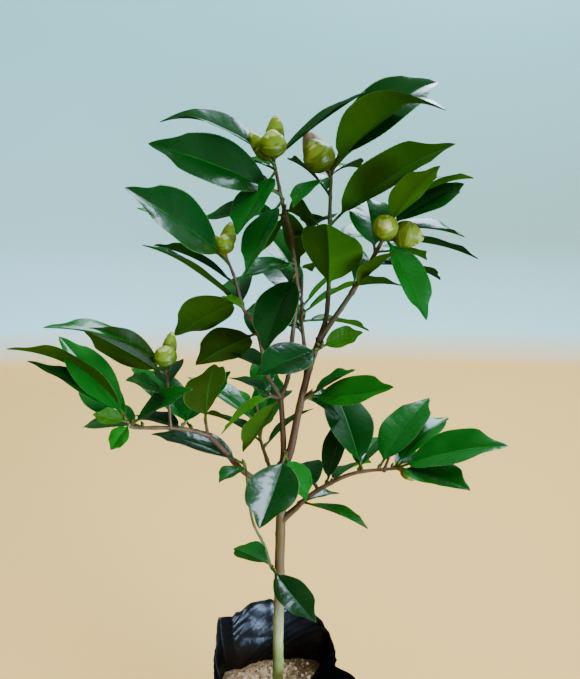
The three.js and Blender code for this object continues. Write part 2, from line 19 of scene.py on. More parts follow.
import bpy
import numpy as np
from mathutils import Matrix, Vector

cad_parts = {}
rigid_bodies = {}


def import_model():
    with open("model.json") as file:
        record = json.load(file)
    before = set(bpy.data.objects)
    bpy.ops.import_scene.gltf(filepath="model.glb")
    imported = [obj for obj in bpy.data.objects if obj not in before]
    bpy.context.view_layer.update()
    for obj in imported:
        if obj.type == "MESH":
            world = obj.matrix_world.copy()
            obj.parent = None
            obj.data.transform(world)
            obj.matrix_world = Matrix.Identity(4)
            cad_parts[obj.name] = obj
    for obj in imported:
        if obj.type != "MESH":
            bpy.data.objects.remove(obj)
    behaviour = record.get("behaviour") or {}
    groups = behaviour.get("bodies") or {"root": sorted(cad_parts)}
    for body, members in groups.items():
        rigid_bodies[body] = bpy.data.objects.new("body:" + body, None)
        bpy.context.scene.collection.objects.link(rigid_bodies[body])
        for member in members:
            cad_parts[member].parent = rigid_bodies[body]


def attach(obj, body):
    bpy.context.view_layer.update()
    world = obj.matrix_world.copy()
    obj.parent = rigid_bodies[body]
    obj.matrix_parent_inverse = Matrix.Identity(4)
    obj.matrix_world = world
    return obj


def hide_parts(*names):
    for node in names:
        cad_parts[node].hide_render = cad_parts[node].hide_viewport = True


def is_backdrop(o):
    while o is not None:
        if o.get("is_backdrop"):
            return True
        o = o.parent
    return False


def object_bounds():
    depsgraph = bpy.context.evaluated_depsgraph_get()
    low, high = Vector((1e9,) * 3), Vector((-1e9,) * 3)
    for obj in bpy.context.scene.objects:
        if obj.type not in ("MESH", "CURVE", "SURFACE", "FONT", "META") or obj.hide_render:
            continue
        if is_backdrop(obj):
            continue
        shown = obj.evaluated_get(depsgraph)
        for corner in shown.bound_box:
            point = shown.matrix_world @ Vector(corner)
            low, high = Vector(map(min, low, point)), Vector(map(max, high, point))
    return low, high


LOG = logging.getLogger("camellia")
MM = 0.001
BODY = "root"

Colour = tuple[int, int, int]
Triple = tuple[float, float, float]
Array = np.ndarray


class Slot(Enum):
    """The record's material slots."""

    FILM = "film"
    SOIL = "soil"
    BARK = "bark"
    FOLIAGE = "foliage"


def linear(colour: Colour) -> tuple[float, float, float, float]:
    """Linear light, as ((c + 0.055) / 1.055) ** 2.4 for each part of a colour that is given as seen.

    Args:
        colour: red, green and blue from 0 to 255.

    Returns:
        Red, green, blue and an alpha of 1.
    """
    seen = np.array(colour) / 255
    light = np.where(seen > 0.04045, ((seen + 0.055) / 1.055) ** 2.4, seen / 12.92)
    return (*(float(part) for part in light), 1.0)


def bearing(heading: float, rise: float) -> Array:
    """The unit vector (cos rise cos heading, cos rise sin heading, sin rise)."""
    turn, lift = math.radians(heading), math.radians(rise)
    return np.array((math.cos(lift) * math.cos(turn), math.cos(lift) * math.sin(turn), math.sin(lift)))


def unit(vectors: Array) -> Array:
    """The vectors at a length of 1."""
    return vectors / np.linalg.norm(vectors, axis=-1, keepdims=True)


def smoothstep(value: Array | float, low: float, high: float) -> Array:
    """The step 3 t^2 - 2 t^3, where t runs from 0 at low to 1 at high."""
    part = np.clip((np.asarray(value, float) - low) / (high - low), 0, 1)
    return part * part * (3 - 2 * part)


def lerp(first: Array | float, second: Array | float, part: Array | float) -> Array:
    """The value so far on the way from the first to the second."""
    return first + (second - first) * part


@dataclass(frozen=True)
class Noise:
    """Smooth noise from -1 to 1, with a random value at each pair of whole numbers.

    Attributes:
        seed: picks the random values.
        turns: the number of cells after which x repeats.
    """

    seed: int
    turns: int = 64

    ROWS = 64
    LAYERS = ((1, 0), (2, 7), (4, 19))

    def at(self, x: Array, y: Array) -> Array:
        """The four nearest values, blended by 3 t^2 - 2 t^3 along x and along y.

        Args:
            x: places along the first direction, in cells.
            y: places along the second direction, in cells.

        Returns:
            The noise at each place.
        """
        table = np.random.default_rng(self.seed).uniform(-1, 1, (self.turns, self.ROWS))
        x, y = np.broadcast_arrays(np.asarray(x, float), np.asarray(y, float))
        cell_x, cell_y = np.floor(x).astype(int), np.floor(y).astype(int)
        part_x, part_y = smoothstep(x - cell_x, 0, 1), smoothstep(y - cell_y, 0, 1)
        left, right = cell_x % self.turns, (cell_x + 1) % self.turns
        low, high = cell_y % self.ROWS, (cell_y + 1) % self.ROWS
        below = lerp(table[left, low], table[right, low], part_x)
        above = lerp(table[left, high], table[right, high], part_x)
        return lerp(below, above, part_y)

    def rough(self, x: Array, y: Array) -> Array:
        """Layers, each n times finer and 1/n as strong: sum(noise(n x, n y + shift) / n) / sum(1 / n)."""
        total = sum(self.at(finer * x, finer * y + shift) / finer for finer, shift in self.LAYERS)
        return total / sum(1 / finer for finer, _ in self.LAYERS)

    def ridged(self, x: Array, y: Array) -> Array:
        """Sharp creases on smooth noise, as 1 - 2 |noise|."""
        return 1 - 2 * np.abs(self.at(x, y))


@dataclass
class Surface:
    """Points and faces of one mesh, with the number of the finish that each face takes.

    Attributes:
        points: one row of three for each point, in millimetres.
        quads: the corners of the four-cornered faces.
        triangles: the corners of the three-cornered faces.
        quad_finish: a finish for each four-cornered face.
        triangle_finish: a finish for each three-cornered face.
    """

    points: Array
    quads: Array
    triangles: Array
    quad_finish: Array
    triangle_finish: Array

    @classmethod
    def loft(
        cls, rings: Array, starts: Array, ends: Array, finish: Array | int = 0
    ) -> "Surface":
        """Closed skins over rings of points, each with a fan of triangles to a point at either end.

        Args:
            rings: points by body, ring, side and coordinate.
            starts: each body's point before its first ring.
            ends: each body's point after its last ring.
            finish: a finish by body, band and side, where the first and last bands are the fans.

        Returns:
            The skins as one surface, with their faces turned outwards.
        """
        bodies, count, sides, _ = rings.shape
        skins = rings.reshape(bodies, count * sides, 3)
        points = np.concatenate([skins, starts[:, None], ends[:, None]], axis=1)
        corner = np.arange(count * sides).reshape(count, sides)
        beside = np.roll(corner, -1, axis=1)
        quads = np.stack([corner[:-1], beside[:-1], beside[1:], corner[1:]], -1).reshape(-1, 4)
        first = np.stack([np.full(sides, count * sides), beside[0], corner[0]], -1)
        last = np.stack([np.full(sides, count * sides + 1), corner[-1], beside[-1]], -1)
        triangles = np.concatenate([first, last])
        shift = np.arange(bodies)[:, None, None] * (count * sides + 2)
        bands = np.broadcast_to(finish, (bodies, count + 1, sides))
        surface = cls(
            points.reshape(-1, 3),
            (quads + shift).reshape(-1, 4),
            (triangles + shift).reshape(-1, 3),
            bands[:, 1:-1].reshape(-1),
            bands[:, [0, -1]].reshape(-1),
        )
        if surface.volume() < 0:
            surface.quads = surface.quads[:, ::-1]
            surface.triangles = surface.triangles[:, ::-1]
        return surface

    @classmethod
    def sheet(cls, grid: Array) -> "Surface":
        """An open sheet.

        Args:
            grid: its points by row, column and coordinate.

        Returns:
            The sheet, facing the side that its rows and then its columns turn about.
        """
        rows, columns, _ = grid.shape
        corner = np.arange(rows * columns).reshape(rows, columns)
        quads = np.stack([corner[:-1, :-1], corner[:-1, 1:], corner[1:, 1:], corner[1:, :-1]], -1)
        quads = quads.reshape(-1, 4)
        none = np.zeros(0, int)
        return cls(grid.reshape(-1, 3), quads, none.reshape(0, 3), np.zeros(len(quads), int), none)

    @classmethod
    def joined(cls, surfaces: list["Surface"]) -> "Surface":
        """Several surfaces as one."""
        shifts = np.cumsum([0] + [len(each.points) for each in surfaces[:-1]])
        parts = [
            (each.points, each.quads + shift, each.triangles + shift, each.quad_finish, each.triangle_finish)
            for each, shift in zip(surfaces, shifts)
        ]
        return cls(*(np.concatenate(kind) for kind in zip(*parts)))

    def volume(self) -> float:
        """Six times the volume inside: the sum of a . (b x c) over all triangles."""
        split = np.concatenate([self.quads[:, :3], self.quads[:, [0, 2, 3]], self.triangles])
        a, b, c = (self.points[split[:, corner]] for corner in range(3))
        return float(np.einsum("ij,ij->", a, np.cross(b, c)))

    def mesh(self, name: str) -> bpy.types.Mesh:
        """The surface as a smooth mesh in metres.

        Args:
            name: the mesh's name.

        Returns:
            The new mesh, without materials.
        """
        mesh = bpy.data.meshes.new(name)
        mesh.vertices.add(len(self.points))
        mesh.vertices.foreach_set("co", (self.points * MM).astype(np.float32).ravel())
        quad_count, triangle_count = len(self.quads), len(self.triangles)
        corners = np.concatenate([self.quads.ravel(), self.triangles.ravel()])
        starts = np.concatenate([np.arange(quad_count) * 4, quad_count * 4 + np.arange(triangle_count) * 3])
        mesh.loops.add(len(corners))
        mesh.polygons.add(quad_count + triangle_count)
        mesh.polygons.foreach_set("loop_start", starts.astype(np.int32))
        mesh.loops.foreach_set("vertex_index", corners.astype(np.int32))
        finish = np.concatenate([self.quad_finish, self.triangle_finish])
        mesh.polygons.foreach_set("material_index", finish.astype(np.int32))
        mesh.polygons.foreach_set("use_smooth", np.ones(len(finish), bool))
        mesh.update(calc_edges=True)
        mesh.validate()
        return mesh


class NodeSheet:
    """A node tree that nodes are added to and joined in."""

    MIX_PART, MIX_FIRST, MIX_SECOND = 0, 6, 7
    MIX_RESULT = 2

    def __init__(self, tree: bpy.types.NodeTree) -> None:
        """Starts on a tree."""
        self.tree = tree

    def add(self, kind: str, inputs: dict | None = None, **settings: object) -> bpy.types.Node:
        """Adds a node.

        Args:
            kind: Blender's name for the node.
            inputs: a value, or a socket to join, for each input by its name or number.
            settings: the node's own settings.

        Returns:
            The new node.
        """
        node = self.tree.nodes.new(kind)
        for name, value in settings.items():
            setattr(node, name, value)
        for name, value in (inputs or {}).items():
            if isinstance(value, bpy.types.NodeSocket):
                self.tree.links.new(value, node.inputs[name])
            else:
                node.inputs[name].default_value = value
        return node

    def place(self) -> bpy.types.NodeSocket:
        """The place on the object."""
        return self.add("ShaderNodeTexCoord").outputs["Object"]

    def height(self) -> bpy.types.NodeSocket:
        """The height on the object, in metres."""
        return self.add("ShaderNodeSeparateXYZ", {"Vector": self.place()}).outputs["Z"]

    def mix(self, part: object, first: object, second: object) -> bpy.types.NodeSocket:
        """A colour so far on the way from the first to the second."""
        values = {self.MIX_PART: part, self.MIX_FIRST: first, self.MIX_SECOND: second}
        return self.add("ShaderNodeMix", values, data_type="RGBA").outputs[self.MIX_RESULT]

    def spread(
        self, value: bpy.types.NodeSocket, low: float, high: float, to_low: float, to_high: float
    ) -> bpy.types.NodeSocket:
        """A value carried smoothly from the range low to high onto the range to_low to to_high."""
        limits = {"Value": value, "From Min": low, "From Max": high, "To Min": to_low, "To Max": to_high}
        return self.add("ShaderNodeMapRange", limits, interpolation_type="SMOOTHSTEP").outputs["Result"]


def group_sheet(name: str, inputs: dict[str, float], outputs: tuple[str, ...]) -> NodeSheet:
    """Starts a node group with plain number sockets.

    Args:
        name: the group's name.
        inputs: each input's name and usual value.
        outputs: the outputs' names.

    Returns:
        A sheet on the new group.
    """
    group = bpy.data.node_groups.new(name, "ShaderNodeTree")
    for title, value in inputs.items():
        socket = group.interface.new_socket(name=title, in_out="INPUT", socket_type="NodeSocketFloat")
        socket.default_value = value
    for title in outputs:
        group.interface.new_socket(name=title, in_out="OUTPUT", socket_type="NodeSocketFloat")
    return NodeSheet(group)


MOTTLE = "mottle"
PATCH_DETAIL = 1.2
PATCH_EDGES = (0.3, 0.7)
GRAIN_DETAIL = 2.0


def mottle_group() -> bpy.types.NodeTree:
    """Soft patches: Mask runs from 0 to 1, and Height is finer relief of the same kind.

    Scale is the number of patches in a metre, Fine how many times finer the relief is, and Stretch how many
    times longer both are upwards.
    """
    if MOTTLE in bpy.data.node_groups:
        return bpy.data.node_groups[MOTTLE]
    sheet = group_sheet(MOTTLE, {"Scale": 60.0, "Fine": 6.0, "Stretch": 1.0}, ("Mask", "Height"))
    given, made = sheet.add("NodeGroupInput"), sheet.add("NodeGroupOutput")
    upwards = sheet.add("ShaderNodeMath", {0: 1.0, 1: given.outputs["Stretch"]}, operation="DIVIDE")
    share = sheet.add("ShaderNodeCombineXYZ", {"X": 1.0, "Y": 1.0, "Z": upwards.outputs[0]})
    place = sheet.add("ShaderNodeVectorMath", {0: sheet.place(), 1: share.outputs[0]}, operation="MULTIPLY")
    patches = {"Vector": place.outputs[0], "Scale": given.outputs["Scale"], "Detail": PATCH_DETAIL}
    broad = sheet.add("ShaderNodeTexNoise", patches)
    scales = {0: given.outputs["Scale"], 1: given.outputs["Fine"]}
    finer = sheet.add("ShaderNodeMath", scales, operation="MULTIPLY")
    grains = {"Vector": place.outputs[0], "Scale": finer.outputs[0], "Detail": GRAIN_DETAIL}
    grain = sheet.add("ShaderNodeTexNoise", grains)
    mask = sheet.spread(broad.outputs[0], *PATCH_EDGES, 0.0, 1.0)
    sheet.tree.links.new(mask, made.inputs["Mask"])
    sheet.tree.links.new(grain.outputs[0], made.inputs["Height"])
    return sheet.tree


@dataclass(frozen=True)
class Finish:
    """A surface whose two tones lie in soft patches, with fine relief.

    Attributes:
        name: the material's name.
        tone: the main colour.
        other: the colour of the patches.
        roughness: how rough the main tone and the patches are.
        patches: patches in a metre.
        fine: how many times finer the relief is than the patches.
        relief: the depth of the relief in millimetres.
        stretch: how many times longer the patches are upwards.
        shine: how strong the plain reflection is.
        coat: the share of a clear coat.
        coat_roughness: how rough that coat is.
    """

    name: str
    tone: Colour
    other: Colour
    roughness: tuple[float, float] = (0.5, 0.6)
    patches: float = 60.0
    fine: float = 6.0
    relief: float = 0.1
    stretch: float = 1.0
    shine: float = 0.5
    coat: float = 0.0
    coat_roughness: float = 0.1

    def colour(self, sheet: NodeSheet, mask: bpy.types.NodeSocket) -> bpy.types.NodeSocket:
        """The surface's colour: its two tones mixed by the mask."""
        return sheet.mix(mask, linear(self.tone), linear(self.other))

    def material(self) -> bpy.types.Material:
        """The material, which is made once.

        Returns:
            A material on Object coordinates.
        """
        if self.name in bpy.data.materials:
            return bpy.data.materials[self.name]
        material = bpy.data.materials.new(self.name)
        material.use_nodes = True
        material.node_tree.nodes.clear()
        sheet = NodeSheet(material.node_tree)
        mottle = sheet.add("ShaderNodeGroup", node_tree=mottle_group())
        for title, value in (("Scale", self.patches), ("Fine", self.fine), ("Stretch", self.stretch)):
            mottle.inputs[title].default_value = value
        mask, height = mottle.outputs["Mask"], mottle.outputs["Height"]
        bump = sheet.add("ShaderNodeBump", {"Distance": self.relief * MM, "Height": height})
        surface = {
            "Base Color": self.colour(sheet, mask),
            "Roughness": sheet.spread(mask, 0.0, 1.0, *self.roughness),
            "Normal": bump.outputs["Normal"],
            "Specular IOR Level": self.shine,
            "Coat Weight": self.coat,
            "Coat Roughness": self.coat_roughness,
        }
        shader = sheet.add("ShaderNodeBsdfPrincipled", surface)
        output = sheet.add("ShaderNodeOutputMaterial", {"Surface": shader.outputs[0]})
        output.is_active_output = True
        material.diffuse_color = linear(self.tone)
        return material


@dataclass(frozen=True)
class ZonedFinish(Finish):
    """A surface whose main tone changes with height.

    Attributes:
        zones: heights in millimetres, lowest first, each with its colour.
        depth: how far the patches darken towards the other tone.
    """

    zones: tuple[tuple[float, Colour], ...] = ()
    depth: float = 0.4

    def colour(self, sheet: NodeSheet, mask: bpy.types.NodeSocket) -> bpy.types.NodeSocket:
        """The zones' colours by height, with the other tone mixed in by part of the mask.

        Args:
            sheet: the material's nodes.
            mask: the patches.

        Returns:
            The colour.
        """
        lowest, highest = self.zones[0][0], self.zones[-1][0]
        limits = {"Value": sheet.height(), "From Min": lowest * MM, "From Max": highest * MM}
        part = sheet.add("ShaderNodeMapRange", limits)
        ramp = sheet.add("ShaderNodeValToRGB", {"Fac": part.outputs["Result"]})
        elements = ramp.color_ramp.elements
        ready = len(elements)
        for number, (height, tone) in enumerate(self.zones):
            place = (height - lowest) / (highest - lowest)
            element = elements[number] if number < ready else elements.new(place)
            element.position = place
            element.color = linear(tone)
        share = sheet.spread(mask, 0.0, 1.0, 0.0, self.depth)
        return sheet.mix(share, ramp.outputs["Color"], linear(self.other))


LEAF_GLOSS = {
    "patches": 42.0, "fine": 9.0, "relief": 0.24, "roughness": (0.24, 0.32), "shine": 0.5,
    "coat": 0.25, "coat_roughness": 0.08,
}
LEAF_SATIN = {"patches": 42.0, "fine": 9.0, "relief": 0.16, "roughness": (0.32, 0.4), "shine": 0.1}
LEAF_MATT = {"patches": 32.0, "fine": 9.0, "relief": 0.12, "roughness": (0.45, 0.58), "shine": 0.12}

# The main colour and the patches' colour of the upper face, and the same of the under one. The lighter yellow-green
# of most under faces is partly their own paler colour and partly painted light shining through the leaf.
LEAF_TONES = {
    "D": ((10, 58, 12), (12, 63, 15), (8, 54, 6), (12, 66, 6)),
    "M": ((14, 86, 14), (18, 96, 20), (34, 84, 4), (46, 92, 4)),
    "F": ((20, 106, 14), (26, 118, 20), (34, 90, 4), (46, 100, 4)),
    "O": ((22, 84, 6), (28, 96, 10), (40, 72, 6), (50, 82, 8)),
    "S": ((8, 62, 8), (11, 68, 10), (8, 54, 6), (12, 66, 6)),
    "B": ((26, 58, 4), (32, 66, 6), (32, 54, 3), (38, 62, 5)),
}


class Tone(Enum):
    """A leaf's colouring, by the letter that it has in a shoot's tones."""

    DEEP = "D"
    MIDDLE = "M"
    FRESH = "F"
    OLIVE = "O"
    SATIN = "S"
    BRONZE = "B"

    def upper(self) -> Finish:
        """The upper face, which is duller on satin and bronze leaves than on the others."""
        gloss = LEAF_SATIN if self in (Tone.SATIN, Tone.BRONZE) else LEAF_GLOSS
        return Finish(f"leaf_upper_{self.name.lower()}", *LEAF_TONES[self.value][:2], **gloss)

    def under(self) -> Finish:
        """The dull under face."""
        return Finish(f"leaf_under_{self.name.lower()}", *LEAF_TONES[self.value][2:], **LEAF_MATT)


RIB = Finish("leaf_rib", (14, 88, 4), (30, 100, 10), (0.35, 0.5), 90.0, shine=0.3)
# The margin's paler green is partly the edge's own colour and partly a painted rim highlight.
MARGIN = Finish("leaf_margin", (52, 116, 24), (84, 140, 46), (0.35, 0.45), 120.0)
PETIOLE = Finish("petiole", (62, 92, 14), (88, 82, 24), (0.4, 0.55), 120.0)
BUD_GREEN = Finish("bud_green", (72, 95, 6), (94, 108, 12), (0.34, 0.46), 110.0)
BUD_OLIVE = Finish("bud_olive", (50, 72, 0), (74, 78, 0), (0.34, 0.46), 110.0)
BUD_AMBER = Finish("bud_amber", (118, 76, 0), (130, 100, 6), (0.34, 0.46), 110.0)
BUD_PALE = Finish("bud_pale", (100, 132, 14), (124, 144, 32), (0.36, 0.48), 130.0)
BUD_CREAM = Finish("bud_cream", (146, 168, 60), (184, 194, 108), (0.4, 0.5), 160.0)
BRACT = Finish("bract", (214, 188, 148), (190, 152, 120), (0.55, 0.7), 150.0)
TWIG_BROWN = Finish("twig_brown", (76, 54, 30), (100, 78, 48), (0.55, 0.75), 160.0, relief=0.12, stretch=3.0)
TWIG_GREEN = Finish("twig_green", (66, 78, 30), (92, 84, 46), (0.5, 0.7), 160.0, relief=0.1, stretch=3.0)
TRUNK_BARK = ZonedFinish(
    "trunk_bark", (150, 140, 116), (92, 80, 60), (0.55, 0.8), 130.0, 5.0, 0.18, 4.0,
    zones=(
        # Painted light on the trunk: the darker zone about 234 mm up is a painted shadow of the front leaf above
        # it, and the light olive at the foot is partly lifted against the compost's shade.
        (160, (160, 172, 80)), (186, (118, 130, 40)), (200, (158, 166, 90)), (207, (166, 172, 106)),
        (234, (118, 116, 76)), (262, (90, 64, 22)), (300, (100, 74, 28)), (366, (88, 70, 32)),
    ),
    depth=0.35,
)
BOUGH_BARK = ZonedFinish(
    "bough_bark", (92, 72, 38), (56, 36, 18), (0.55, 0.8), 150.0, 5.0, 0.15, 3.0,
    zones=((300, (88, 74, 34)), (372, (88, 50, 22)), (430, (88, 66, 34)), (520, (78, 74, 42))),
    depth=0.45,
)
FILM = Finish("grow_bag_film", (2, 2, 4), (7, 9, 14), (0.34, 0.44), 22.0, 14.0, 0.3, shine=0.4)
# Painted shade: a near-black, dull copy of the film for the inside of the folded-in film at the right.
FILM_PAINTED_SHADE = Finish("grow_bag_film_painted_shade", (1, 1, 2), (3, 3, 4), (0.65, 0.8), 22.0, 14.0, 0.3, shine=0.06)
COMPOST = Finish("compost", (216, 190, 150), (150, 120, 86), (0.85, 1.0), 160.0, 4.0, 0.8)
# Painted shade: half-shaded and shaded copies of the compost, and a shaded crumb, for its darker side towards +X.
COMPOST_PAINTED_HALF_SHADE = Finish("compost_painted_half_shade", (156, 134, 98), (110, 88, 60), (0.85, 1.0), 160.0, 4.0, 0.8)
COMPOST_PAINTED_SHADE = Finish("compost_painted_shade", (104, 86, 54), (72, 58, 36), (0.8, 1.0), 160.0, 4.0, 0.8)
CRUMB_DARK = Finish("crumb_dark", (112, 88, 62), (156, 130, 98), (0.85, 1.0), 260.0, 4.0, 0.4)
CRUMB_PAINTED_SHADE = Finish("crumb_painted_shade", (84, 66, 44), (112, 90, 62), (0.8, 0.95), 260.0, 4.0, 0.4)
CRUMB_TAN = Finish("crumb_tan", (214, 192, 154), (232, 216, 182), (0.8, 0.95), 260.0, 4.0, 0.4)
CRUMB_PINK = Finish("crumb_pink", (218, 160, 136), (226, 186, 162), (0.75, 0.9), 200.0, 4.0, 0.4)
FLOOR = ZonedFinish(
    "studio_sweep", (236, 180, 100), (236, 180, 100), (0.6, 0.75), 4.0, 10.0, 0.05,
    zones=((0, (240, 184, 104)), (20, (240, 184, 104)), (100, (176, 226, 234)), (900, (150, 216, 230))),
    depth=0.0,
    shine=0.1,
)


@dataclass(frozen=True)
class Path:
    """A smooth open curve through corners.

    Between two corners p1 and p2 it is the cubic whose tangents are half the steps p2 - p0 and p3 - p1, and
    each end corner is mirrored to give the corner beyond it.

    Attributes:
        corners: the corners, one row each.
    """

    corners: Array

    def at(self, part: Array) -> tuple[Array, Array]:
        """Places on the curve, where every stretch between two corners takes the same part of it.

        Args:
            part: from 0 at the start to 1 at the end.

        Returns:
            The points and the unit tangents.
        """
        corners = self.corners
        before, after = 2 * corners[0] - corners[1], 2 * corners[-1] - corners[-2]
        path = np.vstack([before, corners, after])
        place = np.asarray(part, float) * (len(corners) - 1)
        stretch = np.minimum(np.floor(place).astype(int), len(corners) - 2)
        t = (place - stretch)[:, None]
        p0, p1, p2, p3 = (path[stretch + step] for step in range(4))
        m1, m2 = (p2 - p0) / 2, (p3 - p1) / 2
        square, cube = 3 * p2 - 3 * p1 - 2 * m1 - m2, 2 * p1 - 2 * p2 + m1 + m2
        points = p1 + m1 * t + square * t**2 + cube * t**3
        return points, unit(m1 + 2 * square * t + 3 * cube * t**2)


@dataclass(frozen=True)
class Stick:
    """A limb or twig.

    Attributes:
        radii: the radius at the foot and at the tip.
        legs: straight legs as (length, heading, rise).
        parent: the limb's name, or the number of the twig, that it grows from.
        along: how far along the parent it starts, or nothing for the parent's tip.
    """

    radii: tuple[float, float]
    legs: tuple[Triple, ...]
    parent: str | int | None = None
    along: float | None = None

    @property
    def reach(self) -> float:
        """The length of all legs."""
        return sum(length for length, _, _ in self.legs)

    def corners(self, start: Array) -> Array:
        """The start and the end of each leg."""
        steps = [length * bearing(heading, rise) for length, heading, rise in self.legs]
        return start + np.vstack([np.zeros(3), np.cumsum(steps, axis=0)])

    def point(self, start: Array, along: float) -> Array:
        """The point so far along the straight legs.

        Args:
            start: where the first leg starts.
            along: the distance along the legs.

        Returns:
            The point.
        """
        corners = self.corners(start)
        left = along
        for number, (length, heading, rise) in enumerate(self.legs):
            if left <= length or number == len(self.legs) - 1:
                break
            left -= length
        return corners[number] + left * bearing(heading, rise)

    def path(self, start: Array) -> Path:
        """The smooth curve that the stick follows."""
        return Path(self.corners(start))


LEAF_WIDEST = 0.46
LEAF_BASE_POWER = 0.8
LEAF_TIP_POWER = 2.1
PETIOLE_END = 0.1
CURL_START = 0.6
BLADE_TEST_PARTS = np.array((0.34, 0.46, 0.58, 0.7, 0.82, 0.97))


@dataclass(frozen=True)
class Bud:
    """A bud's place and sizes.

    Attributes:
        base: where its stalk meets the twig.
        heading: which way it points.
        rise: how far it points up.
        length: from the twig to its tip.
        width: across its widest place.
        roll: how far its face is turned about its length.
    """

    base: Array
    heading: float
    rise: float
    length: float
    width: float
    roll: float = 0.0

    def directions(self) -> tuple[Array, Array, Array]:
        """The unit vectors along it, out of its face and across it."""
        along, upwards = bearing(self.heading, self.rise), bearing(self.heading, self.rise + 90)
        turn = math.radians(self.roll)
        face = upwards * math.cos(turn) + np.cross(upwards, along) * math.sin(turn)
        return along, face, np.cross(face, along)


@dataclass(frozen=True)
class Leaf(Bud):
    """A leaf's place and sizes.

    Attributes:
        arch: the angle that its midrib bends through.
        curl: how far its tip drops, as a share of its length.
        tone: its colouring.
    """

    arch: float = 20.0
    curl: float = 0.0
    tone: Tone = Tone.MIDDLE

    def midrib(self, part: Array) -> tuple[Array, Array]:
        """Places on the midrib: an arc with the length as its chord, whose outer part drops by the curl.

        With half the arch h, the turn a = 2 h (part - 1/2) and the size s = length / (2 sin h), the point is
        s (sin a + sin h) along the leaf and s (cos a - cos h) out of its face.

        Args:
            part: from 0 at the twig to 1 at the tip, in any shape of array.

        Returns:
            The points and the way that the face looks there.
        """
        along, face, _ = self.directions()
        half = math.radians(self.arch) / 2
        turn = 2 * half * (part - 0.5)
        size = self.length / (2 * math.sin(half))
        outer = np.maximum(0, (part - CURL_START) / (1 - CURL_START))
        tilt = (turn + np.arctan(2 * self.curl * outer / (1 - CURL_START)))[..., None]
        rise = size * (np.cos(turn) - math.cos(half)) - self.curl * self.length * outer**2
        ahead = size * (np.sin(turn) + math.sin(half))
        point = self.base + along * ahead[..., None] + face * rise[..., None]
        return point, along * np.sin(tilt) + face * np.cos(tilt)

    def half_width(self, blade: Array) -> Array:
        """Half the width at a part of the blade: W/2 sin(pi/2 b/w)^0.8, and past w W/2 (1 - x^2.1)."""
        rising = np.sin(math.pi / 2 * np.clip(blade / LEAF_WIDEST, 0, 1)) ** LEAF_BASE_POWER
        falling = 1 - np.clip((blade - LEAF_WIDEST) / (1 - LEAF_WIDEST), 0, 1) ** LEAF_TIP_POWER
        return self.width / 2 * np.where(blade < LEAF_WIDEST, rising, falling)

    def test_points(self) -> Array:
        """Points on the blade's middle and margins, for telling whether leaves meet."""
        points, _ = self.midrib(BLADE_TEST_PARTS)
        half = self.half_width((BLADE_TEST_PARTS - PETIOLE_END) / (1 - PETIOLE_END))
        sideways = self.directions()[2] * half[:, None]
        return np.concatenate([points - sideways, points, points + sideways])


@dataclass(frozen=True)
class Shoot:
    """One mass of foliage.

    Attributes:
        parent: the limb that it grows on from.
        seed: picks the leaves that the rule adds.
        extra: how many leaves the rule adds, and the heading that they turn round.
        twigs: its twigs.
        leaves: rows of twig, along, heading, rise, length, width, roll and perhaps arch and curl.
        tones: a letter for each of those leaves.
        buds: rows of twig, along, heading, rise, length and width.
        along: how far along the limb it starts, or nothing for the limb's tip.
        young: whether its twigs are still green.
    """

    parent: str
    seed: int
    extra: tuple[int, float]
    twigs: tuple[Stick, ...]
    leaves: tuple[tuple[float, ...], ...] = ()
    tones: str = ""
    buds: tuple[tuple[float, ...], ...] = ()
    along: float | None = None
    young: bool = False


TRUNK_FOOT = np.array((0, 0, 150.3))

# A limb's legs, and a twig's, are rows of length, heading and rise.
LIMBS = {
    "trunk": Stick((5.0, 3.7), ((20, 0, 90), (110, 0, 89), (85, 0, 88))),
    "leader": Stick((3.3, 2.2), ((14, -18, 64), (38, -16, 79), (32, 0, 77), (24, 0, 72)), "trunk"),
    "left_stem": Stick((2.5, 2.0), ((21, 82, 82), (34, 122, 84)), "trunk"),
    "middle_bough": Stick((1.9, 1.7), ((17, 39, 68), (19, 67, 76)), "leader"),
    "right_bough": Stick((2.1, 1.8), ((25, -18, 57), (19, -12, 58)), "leader"),
    "top_left_bough": Stick((1.8, 1.6), ((18, 0, 72), (35, 0, 84), (32, 0, 83)), "left_stem"),
    "mid_left_bough": Stick((1.8, 1.6), ((23, -150, 59),), "left_stem"),
    "low_left_bough": Stick(
        (2.6, 2.0), ((24, 180, 41), (20, -155, 45), (24, -146, 53), (20, -151, 52)), "trunk", 184
    ),
    "low_right_bough": Stick((2.6, 2.2), ((18, -18, 46), (7, -30, 54)), "trunk", 166),
    "back_bough": Stick((1.9, 1.6), ((22, 80, 38), (20, 95, 52)), "leader", 62),
    "low_back_bough": Stick((2.0, 1.6), ((20, 105, 34), (24, 120, 48)), "trunk", 176),
}

